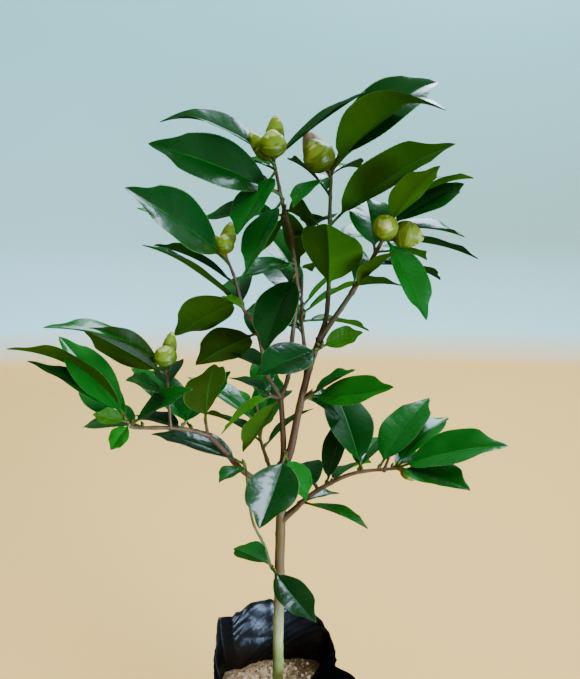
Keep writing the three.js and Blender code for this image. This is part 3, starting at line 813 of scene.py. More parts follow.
SHOOTS = {
    "crown_shoot": Shoot(
        "middle_bough", 1, (5, 100),
        (Stick((1.6, 1.2), ((50, 89, 88), (42, 67, 87))),),
        leaves=(
            (0, 1, -95, 40, 86, 46, 15), (0, 48, -26, 33, 104, 41, 30, 38),
            (0, 82, -124, -20, 52, 24, -10, 30), (0, 86, 34, 31, 70, 28, 5, 30),
            (0, 87, -48, 34, 100, 44, 5, 22, 0.24), (0, 90, 9, 38, 96, 39, -50, 60, 0.04),
        ),
        tones="FMMMMD",
        buds=((0, 84, -160, 52, 30, 22),),
        young=True,
    ),
    "right_shoot": Shoot(
        "right_bough", 29, (5, 60),
        (Stick((1.8, 1.1), ((26, -9, 61), (16, -16, 63), (15, 0, 70))),),
        leaves=(
            (0, 2, 86, 30, 60, 26, -45), (0, 3, -51, 39, 50, 22, 0, 10), (0, 6, -52, 8, 44, 18, 25),
            (0, 32, 94, 39, 58, 33, 0, 30), (0, 46, -35, -58, 66, 29, -20),
            (0, 51, 13, -7, 60, 26, -10, 30), (0, 53, -60, 40, 64, 27, 10),
            (0, 52, 25, 24, 70, 38, -20, 15), (0, 55, 26, 22, 78, 30, 10, 50),
        ),
        tones="MOMMMMMDM",
        buds=((0, 49, -100, 20, 22, 17), (0, 50, -22, -10, 27, 18)),
    ),
    "upper_left_shoot": Shoot(
        "top_left_bough", 85, (5, 110),
        (Stick((1.6, 1.1), ((39, 159, 82), (24, 180, 76), (34, 180, 78))),),
        leaves=(
            (0, 14, -120, -48, 66, 36, 0), (0, 21, -131, -4, 56, 24, 15),
            (0, 56, 135, -46, 56, 26, -5), (0, 60, -66, -5, 54, 24, 55),
            (0, 65, 75, -55, 62, 26, -25), (0, 67, -117, -41, 68, 27, -10),
            (0, 71, -168, 21, 98, 42, 55, 22), (0, 88, -123, -41, 62, 36, -10, 8),
            (0, 96, 178, 24, 84, 30, 20, 30, 0.12), (0, 96, -9, 35, 77, 26, -15, 12),
        ),
        tones="DMFMMMDMDD",
        buds=((0, 95, -95, 66, 23, 19), (0, 97, 40, 84, 30, 13), (0, 92, 178, 52, 29, 12)),
    ),
    "mid_left_shoot": Shoot(
        "mid_left_bough", 29, (5, 130),
        (Stick((1.6, 1.0), ((39, -139, 76), (18, -168, 59), (25, -161, 75), (19, -163, 69))),),
        leaves=(
            (0, 4, 127, 4, 54, 24, 0), (0, 36, 148, -30, 70, 34, -55),
            (0, 58, -133, 31, 24, 11, -25, 10), (0, 60, -152, 37, 86, 28, 5, 12, 0.05),
            (0, 65, 156, -30, 68, 36, -50), (0, 97, -134, 33, 94, 40, 65, 12),
        ),
        tones="MBMMOD",
        buds=((0, 98, -100, 72, 17, 13), (0, 100, 30, 76, 23, 11), (0, 98, 176, 48, 23, 11)),
    ),
    "low_left_shoot": Shoot(
        "low_left_bough", 10, (6, 120),
        (
            Stick((1.9, 1.1), ((14, -151, 28), (18, -151, 19), (26, -157, 10), (7, -154, 48))),
            Stick((1.3, 0.9), ((47, 108, 85),), 0, 32),
            Stick((1.3, 1.0), ((16, -107, 75),), 0, 1),
        ),
        leaves=(
            (0, 21, 146, -1, 52, 22, 0), (0, 61, -12, 33, 56, 24, -25),
            (0, 62, -139, -43, 22, 15, 30), (0, 65, -146, 25, 26, 13, -80, 10),
            (0, 65, 157, 46, 78, 28, 25), (0, 64, 180, 34, 96, 30, -35, 65),
            (0, 65, 177, 33, 80, 30, -5), (1, 23, -118, 31, 50, 22, 35),
            (1, 29, 94, 5, 50, 24, 15, 30), (1, 39, -156, 36, 68, 28, -70),
            (1, 46, -153, 25, 88, 32, 5, 40), (2, 13, -71, 58, 64, 36, -20),
        ),
        tones="DMFMMODDDBMB",
        buds=((1, 45, -90, 70, 18, 16), (1, 46, 60, 72, 25, 10)),
    ),
    "low_right_shoot": Shoot(
        "low_right_bough", 78, (6, 80),
        (
            Stick((2.1, 1.2), ((24, -21, 44), (31, -18, 33), (34, -14, 14))),
            Stick((1.2, 0.9), ((11, -25, 74),), 0, 78),
        ),
        leaves=(
            (0, 2, -42, 2, 64, 26, 20, 18), (0, 3, 35, -7, 38, 16, 5),
            (0, 28, 67, 48, 62, 27, 29, -14), (0, 61, 104, 29, 86, 40, -5),
            (0, 73, 46, 31, 78, 37, 5), (0, 86, 41, 20, 68, 32, 5, 40),
            (0, 88, -52, 8, 66, 32, -10), (0, 88, -31, 25, 86, 40, -20, 25),
        ),
        tones="MMDSMMMM",
        buds=((0, 88, -22, -28, 16, 7),),
    ),
    "low_twig": Shoot(
        "trunk", 61, (0, 150),
        (Stick((1.5, 0.9), ((8, -150, 25), (24, -150, 74), (30, -150, 69), (50, -125, 82))),),
        leaves=(
            (0, 8, -61, -3, 70, 27, -10, -18), (0, 11, -142, 40, 46, 24, -60),
            (0, 111, 167, 13, 78, 34, 0, 25), (0, 109, -123, 2, 32, 18, 0),
        ),
        tones="DDDM",
        along=121,
        young=True,
    ),
    "fork_leaves": Shoot(
        "trunk", 71, (0, 90),
        (Stick((2.0, 1.5), ((17, -70, 66),)),),
        leaves=((0, 16, -105, -20, 73, 41, 1, -18), (0, 14, -49, -50, 38, 28, 10, 5)),
        tones="DM",
        along=213,
    ),
    "left_node_leaves": Shoot(
        "left_stem", 73, (0, 90),
        (Stick((1.9, 1.4), ((9, -170, 12),)),),
        leaves=(
            (0, 1, 157, -58, 62, 26, -25, 10), (0, 8, -127, -12, 58, 24, -50),
            (0, 8, 135, 3, 50, 22, -10),
        ),
        tones="OMM",
    ),
    "leader_top_leaves": Shoot(
        "leader", 79, (0, 90),
        (Stick((1.8, 1.3), ((10, -65, 25),)),),
        leaves=((0, 7, -137, -7, 62, 32, 25, 8), (0, 8, 1, 20, 33, 19, 70, 20)),
        tones="DM",
        along=100,
    ),
    "leader_low_leaves": Shoot(
        "leader", 83, (0, 90),
        (Stick((1.9, 1.4), ((12, -27, 38),)),),
        leaves=(
            (0, 5, 34, -36, 42, 22, -30), (0, 6, 37, -18, 44, 20, -15),
            (0, 8, -36, 17, 74, 30, -34, -18), (0, 9, -6, 32, 40, 26, 1, 10),
        ),
        tones="DDFM",
        along=58,
    ),
    "back_shoot": Shoot(
        "back_bough", 63, (9, 90),
        (Stick((1.6, 1.0), ((26, 100, 60), (30, 85, 72))),),
    ),
    "low_back_shoot": Shoot(
        "low_back_bough", 37, (9, 100),
        (Stick((1.6, 1.0), ((24, 112, 40), (30, 100, 56))),),
    ),
}

# The rule for the leaves at the back: the first place along the twig, tries for a leaf, angles to either
# side, least and greatest sizes, and the room kept to other leaves and to wood.
EXTRA_FIRST = 0.15
EXTRA_TRIES = 9
EXTRA_SPREAD = 75
EXTRA_RISE = (-22, 38)
EXTRA_LENGTH = (56, 80)
EXTRA_ROLL = 30
EXTRA_WIDTH = 0.42
EXTRA_ARCH = 32
LEAF_GAP = 8
WOOD_GAP = 6
WOOD_POINT_STEP = 5


class Draws:
    """Random numbers by the usual congruence, so that a seed gives the same leaves as in the solids."""

    RANGE = 2**32
    SEED_FACTOR = 2654435761
    FACTOR = 1664525
    STEP = 1013904223

    def __init__(self, seed: int) -> None:
        """Starts from a seed."""
        self.state = (seed * self.SEED_FACTOR) % self.RANGE

    def within(self, least: float, greatest: float) -> float:
        """The next number from least to greatest: state = (factor state + step) mod range."""
        self.state = (self.state * self.FACTOR + self.STEP) % self.RANGE
        return least + (greatest - least) * self.state / self.RANGE


@dataclass(frozen=True)
class PlantPlan:
    """Where every limb, twig, leaf and bud is.

    Attributes:
        limbs: the limbs by name.
        shoots: the foliage masses by name.
    """

    limbs: dict[str, Stick]
    shoots: dict[str, Shoot]

    def limb_start(self, name: str) -> Array:
        """Where a limb starts."""
        limb = self.limbs[name]
        return TRUNK_FOOT if limb.parent is None else self.on_limb(limb.parent, limb.along)

    def on_limb(self, name: str, along: float | None) -> Array:
        """A place so far along a limb, or its tip."""
        limb = self.limbs[name]
        return limb.point(self.limb_start(name), limb.reach if along is None else along)

    def twig_start(self, shoot: Shoot, number: int) -> Array:
        """Where a shoot's twig starts: on the limb, or part way along another twig."""
        twig = shoot.twigs[number]
        if twig.parent is None:
            return self.on_limb(shoot.parent, shoot.along)
        return shoot.twigs[twig.parent].point(self.twig_start(shoot, twig.parent), twig.along)

    def on_twig(self, shoot: Shoot, number: int, along: float) -> Array:
        """A place so far along a shoot's twig."""
        return shoot.twigs[number].point(self.twig_start(shoot, number), along)

    def buds(self, shoot: Shoot) -> list[Bud]:
        """A shoot's buds."""
        return [Bud(self.on_twig(shoot, row[0], row[1]), *row[2:]) for row in shoot.buds]

    def wood_points(self) -> Array:
        """Points at small steps along all limbs and twigs."""
        sticks = [(limb, self.limb_start(name)) for name, limb in self.limbs.items()]
        for shoot in self.shoots.values():
            sticks += [(twig, self.twig_start(shoot, number)) for number, twig in enumerate(shoot.twigs)]
        return np.array([
            stick.point(start, along)
            for stick, start in sticks
            for along in np.arange(0, stick.reach + WOOD_POINT_STEP / 2, WOOD_POINT_STEP)
            if along <= stick.reach
        ])

    def seen_leaves(self, shoot: Shoot) -> list[Leaf]:
        """The leaves that a shoot's rows place."""
        leaves = []
        for row, letter in zip(shoot.leaves, shoot.tones):
            base = self.on_twig(shoot, row[0], row[1])
            leaves.append(Leaf(base, *row[2:], tone=Tone(letter)))
        return leaves

    def drawn_leaf(self, shoot: Shoot, along: float, draws: Draws) -> Leaf:
        """One leaf that the rule draws, turned round the shoot's back heading.

        Args:
            shoot: the shoot.
            along: how far along its first twig the leaf grows.
            draws: the shoot's random numbers.

        Returns:
            The leaf.
        """
        heading = shoot.extra[1] + EXTRA_SPREAD * draws.within(-1, 1)
        rise = draws.within(*EXTRA_RISE)
        length = draws.within(*EXTRA_LENGTH)
        roll = EXTRA_ROLL * draws.within(-1, 1)
        base = self.on_twig(shoot, 0, along)
        return Leaf(base, heading, rise, length, EXTRA_WIDTH * length, roll, EXTRA_ARCH)

    def leaves(self) -> dict[str, list[Leaf]]:
        """All leaves by shoot.

        The leaves of the rows come first. Then each shoot's seed draws more along its first twig, and one
        that would touch wood or another leaf is drawn again a few times, then skipped.

        Returns:
            The leaves of each shoot.
        """
        grown = {name: self.seen_leaves(shoot) for name, shoot in self.shoots.items()}
        taken = np.concatenate([leaf.test_points() for leaves in grown.values() for leaf in leaves])
        wood = self.wood_points()
        for name, shoot in self.shoots.items():
            draws = Draws(shoot.seed)
            for number in range(shoot.extra[0]):
                share = EXTRA_FIRST + (1 - EXTRA_FIRST) * (number + 0.5) / shoot.extra[0]
                for _ in range(EXTRA_TRIES):
                    leaf = self.drawn_leaf(shoot, share * shoot.twigs[0].reach, draws)
                    points = leaf.test_points()
                    if clear_of(points, taken, LEAF_GAP) and clear_of(points, wood, WOOD_GAP):
                        grown[name].append(leaf)
                        taken = np.concatenate([taken, points])
                        break
        return grown


def clear_of(points: Array, others: Array, gap: float) -> bool:
    """Whether every point lies further than the gap from all others."""
    return bool((np.linalg.norm(points[:, None] - others[None], axis=-1) > gap).all())


def add_piece(
    name: str, surface: Surface, finishes: Sequence[Finish], slot: Slot, nodes: list[str]
) -> None:
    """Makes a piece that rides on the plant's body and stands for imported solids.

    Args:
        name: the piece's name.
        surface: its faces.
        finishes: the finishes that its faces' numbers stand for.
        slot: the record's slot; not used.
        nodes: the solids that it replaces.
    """
    mesh = surface.mesh(name)
    for finish in finishes:
        mesh.materials.append(finish.material())
    piece = bpy.data.objects.new(name, mesh)
    bpy.context.scene.collection.objects.link(piece)
    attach(piece, BODY)
    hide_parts(*nodes)
    LOG.info("%s: %d triangles", name, len(mesh.loops) - 2 * len(mesh.polygons))


@dataclass(frozen=True)
class Relief:
    """Bark's relief on a limb or twig.

    Attributes:
        seed: picks the bumps.
        lumps: the height of broad swellings.
        streaks: the height of fine upright ridges.
        ring: the height of the rings where leaves once grew.
        ring_step: the distance from one such ring to the next.
    """

    seed: int
    lumps: float
    streaks: float
    ring: float
    ring_step: float = 27.0

    RING_REACH = 1.6
    RING_TURN = 2.4
    LUMP_GRID = (4, 16.0)
    STREAK_GRID = (18, 9.0)

    def at(self, along: Array, turn: Array) -> Array:
        """How far the bark stands out: lumps + streaks + exp(-(d / reach)^2) rings, where d is the distance
        from a ring, and each ring is fuller on one side.

        Args:
            along: the distance along the stick.
            turn: the angle round it.

        Returns:
            The height at each place.
        """
        around = turn / math.tau
        lumps, lump_length = self.LUMP_GRID
        streaks, streak_length = self.STREAK_GRID
        broad = Noise(self.seed, lumps).rough(around * lumps, along / lump_length)
        fine = Noise(self.seed + 1, streaks).ridged(around * streaks, along / streak_length)
        number = np.round(along / self.ring_step)
        near = np.exp(-(((along - number * self.ring_step) / self.RING_REACH) ** 2))
        leaning = 0.6 + 0.4 * np.cos(turn - self.RING_TURN * number - self.seed)
        return self.lumps * broad + self.streaks * fine + self.ring * near * leaning * (number > 0)


@dataclass(frozen=True)
class Tube:
    """A round tapering skin round a path, with a domed tip.

    Attributes:
        path: the middle line.
        length: the length that the radii and the relief are spread over.
        radii: the radius at the foot and at the tip.
        relief: the bark's relief.
        swelling: how much wider the foot is, and how far that reaches.
        sides: the points in a ring.
        step: the distance between rings.
        sunk: how far the foot reaches back into its parent.
    """

    path: Path
    length: float
    radii: tuple[float, float]
    relief: Relief
    swelling: tuple[float, float] = (0.0, 1.0)
    sides: int = 32
    step: float = 1.2
    sunk: float = 0.0

    DOME = 0.7
    DOME_TURNS = (25.0, 50.0, 72.0)

    def surface(self, finish: int = 0) -> Surface:
        """The skin: centre + radius (across cos turn + other sin turn), where radius is the taper plus
        swelling exp(-along / reach) plus the relief, and a quarter ellipse closes the tip.

        Args:
            finish: the number of its finish.

        Returns:
            The closed tube.
        """
        rings = max(3, math.ceil(self.length / self.step))
        dome = np.radians(self.DOME_TURNS)
        part = np.concatenate([np.linspace(0, 1, rings), np.ones(len(dome))])
        push = np.concatenate([np.zeros(rings), self.DOME * self.radii[1] * np.sin(dome)])
        shrink = np.concatenate([np.ones(rings), np.cos(dome)])
        centre, ahead = self.path.at(part)
        centre = centre + ahead * push[:, None]
        centre[0] -= ahead[0] * self.sunk
        chord = unit(centre[-1] - centre[0])
        aside = np.eye(3)[np.argmin(np.abs(chord))]
        across = unit(aside - ahead * (ahead @ aside)[:, None])
        other = np.cross(ahead, across)
        along = (part * self.length)[:, None]
        turn = np.arange(self.sides)[None] * math.tau / self.sides
        wide, fade = self.swelling
        radius = lerp(*self.radii, part)[:, None] + wide * np.exp(-along / fade)
        radius = ((radius + self.relief.at(along, turn)) * shrink[:, None])[..., None]
        spokes = across[:, None] * np.cos(turn)[..., None] + other[:, None] * np.sin(turn)[..., None]
        skin = centre[:, None] + radius * spokes
        tip = centre[rings - 1] + ahead[-1] * self.DOME * self.radii[1]
        return Surface.loft(skin[None], centre[None, 0], tip[None], finish)


@dataclass
class Wood:
    """The trunk and the boughs, each as its own piece.

    Attributes:
        plan: where they are.
        trunk_flare: how much wider the trunk's foot is, and how far that reaches.
        collar: how much wider a bough is where it leaves its parent, as a share of its radius.
        collar_reach: how far that collar reaches.
    """

    plan: PlantPlan
    trunk_flare: tuple[float, float] = (2.4, 7.0)
    collar: float = 0.45
    collar_reach: float = 4.0

    LUMPS = 0.32
    STREAKS = 0.12
    RING = (0.5, 0.1)
    FULL_RADIUS = 5.0
    SIDES = (44, 28)
    SUNK = (2.0, 1.0)
    STEP = 1.1
    FIRST_SEED, SEED_STEP = 11, 7

    def surface(self, name: str) -> Surface:
        """A limb's bark.

        Args:
            name: the limb's name.

        Returns:
            The closed tube.
        """
        limb, start = self.plan.limbs[name], self.plan.limb_start(name)
        seed = self.FIRST_SEED + self.SEED_STEP * list(self.plan.limbs).index(name)
        bough = limb.parent is not None
        swelling = (self.collar * limb.radii[0], self.collar_reach) if bough else self.trunk_flare
        size = limb.radii[0] / self.FULL_RADIUS
        relief = Relief(seed, self.LUMPS * size, self.STREAKS, self.RING[0] * size + self.RING[1])
        sides, sunk = self.SIDES[bough], self.SUNK[bough]
        skin = Tube(limb.path(start), limb.reach, limb.radii, relief, swelling, sides, self.STEP, sunk)
        return skin.surface()

    def build(self) -> None:
        """Makes a piece for each limb."""
        for name, limb in self.plan.limbs.items():
            bark = TRUNK_BARK if limb.parent is None else BOUGH_BARK
            add_piece(f"{name}_bark", self.surface(name), [bark], Slot.BARK, [name])


@dataclass(frozen=True)
class LeafForm:
    """The form that all leaves share: a folded, veined blade on a round stalk, worked out on one grid.

    A place has u along the blade, from 0 on the stalk to 1 at the tip, and s across it, from -1 to 1 over
    the upper face and back over the under one.

    Attributes:
        veins: how many fields the side veins part each half of a blade into.
        rings_in_field: rings from one side vein to the next.
        slant: how far a side vein runs towards the tip, as a share of the blade.
        thickness: a blade's thickness at its middle.
        fold: the angle that each half is folded up by, and how much that varies.
        bulge: how far the fields between the veins stand up.
        groove: how deep the side veins lie above.
        wave: the least and the greatest height of the margin's waves.
        bumps: the height of the blade's fine bumps.
        rib: how far the midrib stands out below, in a part that fades to the tip and a part that stays.
        gutter: how deep the line above the midrib lies at the stalk.
        tooth: how far the teeth of the margin stand out.
        stalk: a stalk's radius.
    """

    veins: int = 9
    rings_in_field: int = 10
    slant: float = 0.11
    thickness: float = 0.5
    fold: tuple[float, float] = (16.0, 3.0)
    bulge: float = 0.05
    groove: float = 0.05
    wave: tuple[float, float] = (0.4, 1.0)
    bumps: float = 0.12
    rib: tuple[float, float] = (0.85, 0.18)
    gutter: float = 0.28
    tooth: float = 0.35
    stalk: float = 1.0

    VEIN = 0.1
    VEIN_REACH = 0.1
    WAVES = 2.3
    RIB_REACH = 0.9
    GUTTER_REACH = 0.8
    UNEVEN = 0.012
    TIP = (0.26, 0.26)
    STALK_FOOT = (0.35, 0.02)
    STALK_PARTS = (0.0, 0.025, 0.05, 0.075, 0.092)
    HALF_COLUMNS = (0.0, 0.02, 0.17, 0.36, 0.57, 0.78, 0.968, 1.0)
    TOOTH_RINGS = 3
    TEETH_START, TEETH_END = (0.08, 0.2), (0.9, 1.0)
    VEINS_START = (0.03, 0.25)
    BLADE_START = (0.0, 0.1)
    FINISHES_OF_A_TONE = 2

    def grid(self) -> tuple[Array, Array]:
        """The columns' places s, as a row, and the rings' places u, as a column."""
        half_columns = np.array(self.HALF_COLUMNS)
        columns = np.concatenate([-half_columns[:0:-1], half_columns])
        count = self.veins * self.rings_in_field
        s = np.concatenate([columns, columns[-2:0:-1]])[None]
        u = np.concatenate([np.zeros(len(self.STALK_PARTS)), np.arange(count) / count])[:, None]
        return s, u

    def half_width(self, leaf: Leaf, seed: int, s: Array, u: Array, blade: Array) -> Array:
        """Half the width: the leaf's outline, less a sine of it before the tip, plus unevenness by noise.

        Args:
            leaf: the leaf.
            seed: picks the unevenness.
            s: places across the blade.
            u: places along it.
            blade: the part of the blade at each place.

        Returns:
            The half width at each place.
        """
        depth, share = self.TIP
        pinch = 1 - depth * np.sin(math.pi * np.clip((blade - (1 - share)) / share, 0, 1))
        half = leaf.half_width(blade) * pinch
        noise = Noise(seed, 8).at(np.sign(s) * 2 + 4, u * 6)
        return half + self.UNEVEN * leaf.width * np.sin(math.pi * u) * noise

    def teeth(self, s: Array, u: Array) -> Array:
        """How far the margin stands out: one tooth in three rings, fading out near the stalk and the tip.

        Args:
            s: places across the blade.
            u: places along it.

        Returns:
            The offset at each place.
        """
        ring = np.arange(u.size)[:, None]
        step = (ring % self.TOOTH_RINGS) / (self.TOOTH_RINGS - 1) - 0.5
        teeth = self.tooth * step * (np.abs(s) == 1)
        return teeth * smoothstep(u, *self.TEETH_START) * (1 - smoothstep(u, *self.TEETH_END))

    def faces(self, lift: Array, s: Array, u: Array, half: Array, vein: Array) -> Array:
        """The faces' heights, half the thickness times 1 - s^2 above and below the middle layer.

        At a distance x from the midrib the upper face lies gutter exp(-(x / reach)^2) (1 - u) deeper, and
        the under one stands (fading (1 - u)^0.9 + staying) exp(-(x / reach)^2) out.

        Args:
            lift: the middle layer's height.
            s: places across the blade.
            u: places along it.
            half: half the width.
            vein: how far the side veins stand out below.

        Returns:
            The height at each place, of the upper face and then of the under one.
        """
        deep = self.thickness / 2 * (1 - s**2)
        fading, staying = self.rib
        rib = (fading * (1 - u) ** 0.9 + staying) * np.exp(-((s * half / self.RIB_REACH) ** 2))
        gutter = self.gutter * np.exp(-((s * half / self.GUTTER_REACH) ** 2)) * (1 - u)
        return np.where(self.is_under(s), lift - deep - rib - vein, lift + deep - gutter)

    def is_under(self, s: Array) -> Array:
        """Which columns lie on the under face."""
        return np.arange(s.size)[None] >= 2 * len(self.HALF_COLUMNS) - 1

    def rings(self, leaf: Leaf, seed: int) -> Array:
        """A leaf's sections, each a loop across the upper face and back across the under one.

        A place's part of the blade is u + slant sin(pi u) |s|^1.4, so that the side veins, on rings of
        equal u, run towards the tip. The height of the middle layer is the fold, which flattens out by
        1.3 |s| - 0.3 s^2, a sine wave that grows with s^2, and bulge sin^2 between the veins less the groove
        on them, with noise for the bumps. The stalk is round and turns into the blade where that starts.

        Args:
            leaf: the leaf.
            seed: picks its waves and bumps.

        Returns:
            Points by ring, side and coordinate.
        """
        draw = np.random.default_rng(seed)
        angle, varies = self.fold
        fold = math.radians(angle + draw.uniform(-varies, varies))
        phase = draw.uniform(0, math.tau, 2)
        s, u = self.grid()
        aside, stalk = np.abs(s), len(self.STALK_PARTS)
        blade = u + self.slant * np.sin(math.pi * u) * aside**1.4
        part = PETIOLE_END + (1 - PETIOLE_END) * blade
        part[:stalk] = np.array(self.STALK_PARTS)[:, None]
        half = self.half_width(leaf, seed, s, u, blade)
        sideways = s * half * math.cos(fold) + np.sign(s) * self.teeth(s, u)

        field_part = (u * self.veins) % 1
        near_vein = np.exp(-((np.minimum(field_part, 1 - field_part) / self.VEIN_REACH) ** 2))
        inside = smoothstep(aside, *self.VEINS_START) * (1 - aside**6)
        window = inside * np.sin(math.pi * np.clip(u, 0, 1)) ** 0.5
        quilt = self.bulge * np.sin(math.pi * field_part) ** 2 - self.groove * near_vein
        swing = np.sin(math.tau * self.WAVES * u + phase[0] + np.sign(s) * phase[1])
        wave = draw.uniform(*self.wave) * aside**2 * swing * np.sin(math.pi * u)
        bumps = self.bumps * Noise(seed + 1, 16).rough(s * 3 + 8, u * 11) * window
        lift = half * math.sin(fold) * (1.3 * aside - 0.3 * aside**2) + wave + window * quilt + bumps
        height = self.faces(lift, s, u, half, self.VEIN * near_vein * window)

        turn = math.pi / 2 * (1 - s) * np.where(self.is_under(s), -1, 1)
        wider, reach = self.STALK_FOOT
        stem = self.stalk * (1 + wider * np.exp(-((part / reach) ** 2)))
        blend = smoothstep(blade, *self.BLADE_START) * (np.arange(u.size)[:, None] >= stalk)
        out = lerp(stem * np.cos(turn), sideways, blend)
        up = lerp(stem * np.sin(turn), height, blend)
        point, face = leaf.midrib(part)
        return point + leaf.directions()[2] * out[..., None] + face * up[..., None]

    def finishes(self) -> list[Finish]:
        """Every finish that a leaf takes: upper and under by tone, then rib, margin and stalk."""
        faces = [face for tone in Tone for face in (tone.upper(), tone.under())]
        return [*faces, RIB, MARGIN, PETIOLE]

    def face_finishes(self, tone: Tone) -> Array:
        """The finish number of each face of a leaf, by band and side.

        Args:
            tone: the leaf's colouring.

        Returns:
            One row for each band from the stalk's foot to the tip.
        """
        last = len(self.HALF_COLUMNS) - 1
        upper = self.FINISHES_OF_A_TONE * list(Tone).index(tone)
        rib, margin, petiole = (self.FINISHES_OF_A_TONE * len(Tone) + number for number in range(3))
        across = np.full(4 * last, upper)
        across[2 * last:] = upper + 1
        across[[last - 1, last, 3 * last - 1, 3 * last]] = rib
        across[[0, 2 * last - 1, 2 * last, 4 * last - 1]] = margin
        bands = np.tile(across, (len(self.STALK_PARTS) + self.veins * self.rings_in_field + 1, 1))
        bands[: len(self.STALK_PARTS)] = petiole
        return bands


@dataclass
class Foliage:
    """All leaves, joined into a few sprays.

    Attributes:
        plan: the shoots that they grow on.
        leaves: the leaves of each shoot.
        form: the form that they share.
    """

    plan: PlantPlan
    leaves: dict[str, list[Leaf]]
    form: LeafForm = LeafForm()

    SPRAYS = {
        "crown_leaves": ["crown_shoot"],
        "right_leaves": ["right_shoot", "leader_top_leaves"],
        "upper_left_leaves": ["upper_left_shoot"],
        "mid_left_leaves": ["mid_left_shoot", "left_node_leaves"],
        "low_left_leaves": ["low_left_shoot", "low_twig"],
        "low_right_leaves": ["low_right_shoot", "leader_low_leaves", "fork_leaves"],
        "back_leaves": ["back_shoot", "low_back_shoot"],
    }
    DEALT_TONES = "DMMMF"
    SEEDS_IN_A_SPRAY = 100

    def surface(self, leaves: list[Leaf], seed: int) -> Surface:
        """Several leaves as one surface.

        Args:
            leaves: the leaves.
            seed: the first one's seed.

        Returns:
            Their closed skins.
        """
        rings = np.stack([self.form.rings(leaf, seed + number) for number, leaf in enumerate(leaves)])
        ends = np.stack([leaf.midrib(np.array(1.0))[0] for leaf in leaves])
        finish = np.stack([self.form.face_finishes(leaf.tone) for leaf in leaves])
        return Surface.loft(rings, rings[:, 0].mean(axis=1), ends, finish)

    def dealt(self, name: str) -> list[Leaf]:
        """A shoot's leaves, with a tone dealt to each that the rule added.

        Args:
            name: the shoot's name.

        Returns:
            The leaves.
        """
        leaves, shoot = self.leaves[name], self.plan.shoots[name]
        letters = np.random.default_rng(shoot.seed).choice(list(self.DEALT_TONES), len(leaves))
        seen = len(shoot.leaves)
        added = zip(leaves[seen:], letters[seen:])
        return leaves[:seen] + [replace(leaf, tone=Tone(str(letter))) for leaf, letter in added]

    def build(self) -> None:
        """Makes a piece for each spray."""
        for number, (name, shoots) in enumerate(self.SPRAYS.items()):
            leaves = [leaf for shoot in shoots for leaf in self.dealt(shoot)]
            surface = self.surface(leaves, self.SEEDS_IN_A_SPRAY * number)
            add_piece(name, surface, self.form.finishes(), Slot.FOLIAGE, shoots)


@dataclass
class Twigs:
    """All twigs, with the small buds in the leaves' axils.

    Attributes:
        plan: where they are.
        leaves: the leaves of each shoot, which the axil buds stand beside.
        axil_length: an axil bud's length.
        axil_radius: its radius.
    """

    plan: PlantPlan
    leaves: dict[str, list[Leaf]]
    axil_length: float = 5.0
    axil_radius: float = 1.2

    AXIL_STEP = 0.8
    AXIL_LIFT = 1.6
    LUMPS = 0.12
    STREAKS = 0.05
    RING = 0.3
    RING_STEP = 13.0
    SWELLING = (0.5, 2.5)
    SIDES = 16
    SUNK = 1.5
    FINISHES = (TWIG_BROWN, TWIG_GREEN, BUD_OLIVE)
    AXIL_PARTS = np.linspace(0.12, 0.94, 7)
    AXIL_SIDES = 8
    AXIL_ASIDE = (0.31, 0.95, 0.05)

    def axil_buds(self, name: str) -> Surface:
        """Small pointed buds above a shoot's leaf stalks, turned between the stalk and the upright.

        The radius at a part t is r sin(pi t^0.7).

        Args:
            name: the shoot's name.

        Returns:
            The buds of all its leaves.
        """
        leaves = self.leaves[name]
        lift = np.array((0, 0, self.AXIL_LIFT))
        ahead = unit(np.stack([leaf.directions()[0] + lift for leaf in leaves]))
        base = np.stack([leaf.base for leaf in leaves]) + self.AXIL_STEP * ahead
        aside = unit(np.cross(ahead, np.array(self.AXIL_ASIDE)))
        other = np.cross(ahead, aside)
        turn = np.arange(self.AXIL_SIDES) * math.tau / self.AXIL_SIDES
        radius = self.axil_radius * np.sin(math.pi * self.AXIL_PARTS**0.7)
        spokes = aside[:, None] * np.cos(turn)[:, None] + other[:, None] * np.sin(turn)[:, None]
        middle = base[:, None] + ahead[:, None] * (self.axil_length * self.AXIL_PARTS)[:, None]
        rings = middle[:, :, None] + radius[None, :, None, None] * spokes[:, None]
        bud = self.FINISHES.index(BUD_OLIVE)
        return Surface.loft(rings, base, base + ahead * self.axil_length, bud)

    def build(self) -> None:
        """Makes one piece of all twigs."""
        surfaces = []
        for name, shoot in self.plan.shoots.items():
            for number, twig in enumerate(shoot.twigs):
                relief = Relief(shoot.seed + number, self.LUMPS, self.STREAKS, self.RING, self.RING_STEP)
                path = twig.path(self.plan.twig_start(shoot, number))
                tube = Tube(
                    path, twig.reach, twig.radii, relief, self.SWELLING, sides=self.SIDES, sunk=self.SUNK
                )
                bark = TWIG_GREEN if shoot.young else TWIG_BROWN
                surfaces.append(tube.surface(self.FINISHES.index(bark)))
            surfaces.append(self.axil_buds(name))
        add_piece("twigs", Surface.joined(surfaces), self.FINISHES, Slot.FOLIAGE, list(self.plan.shoots))


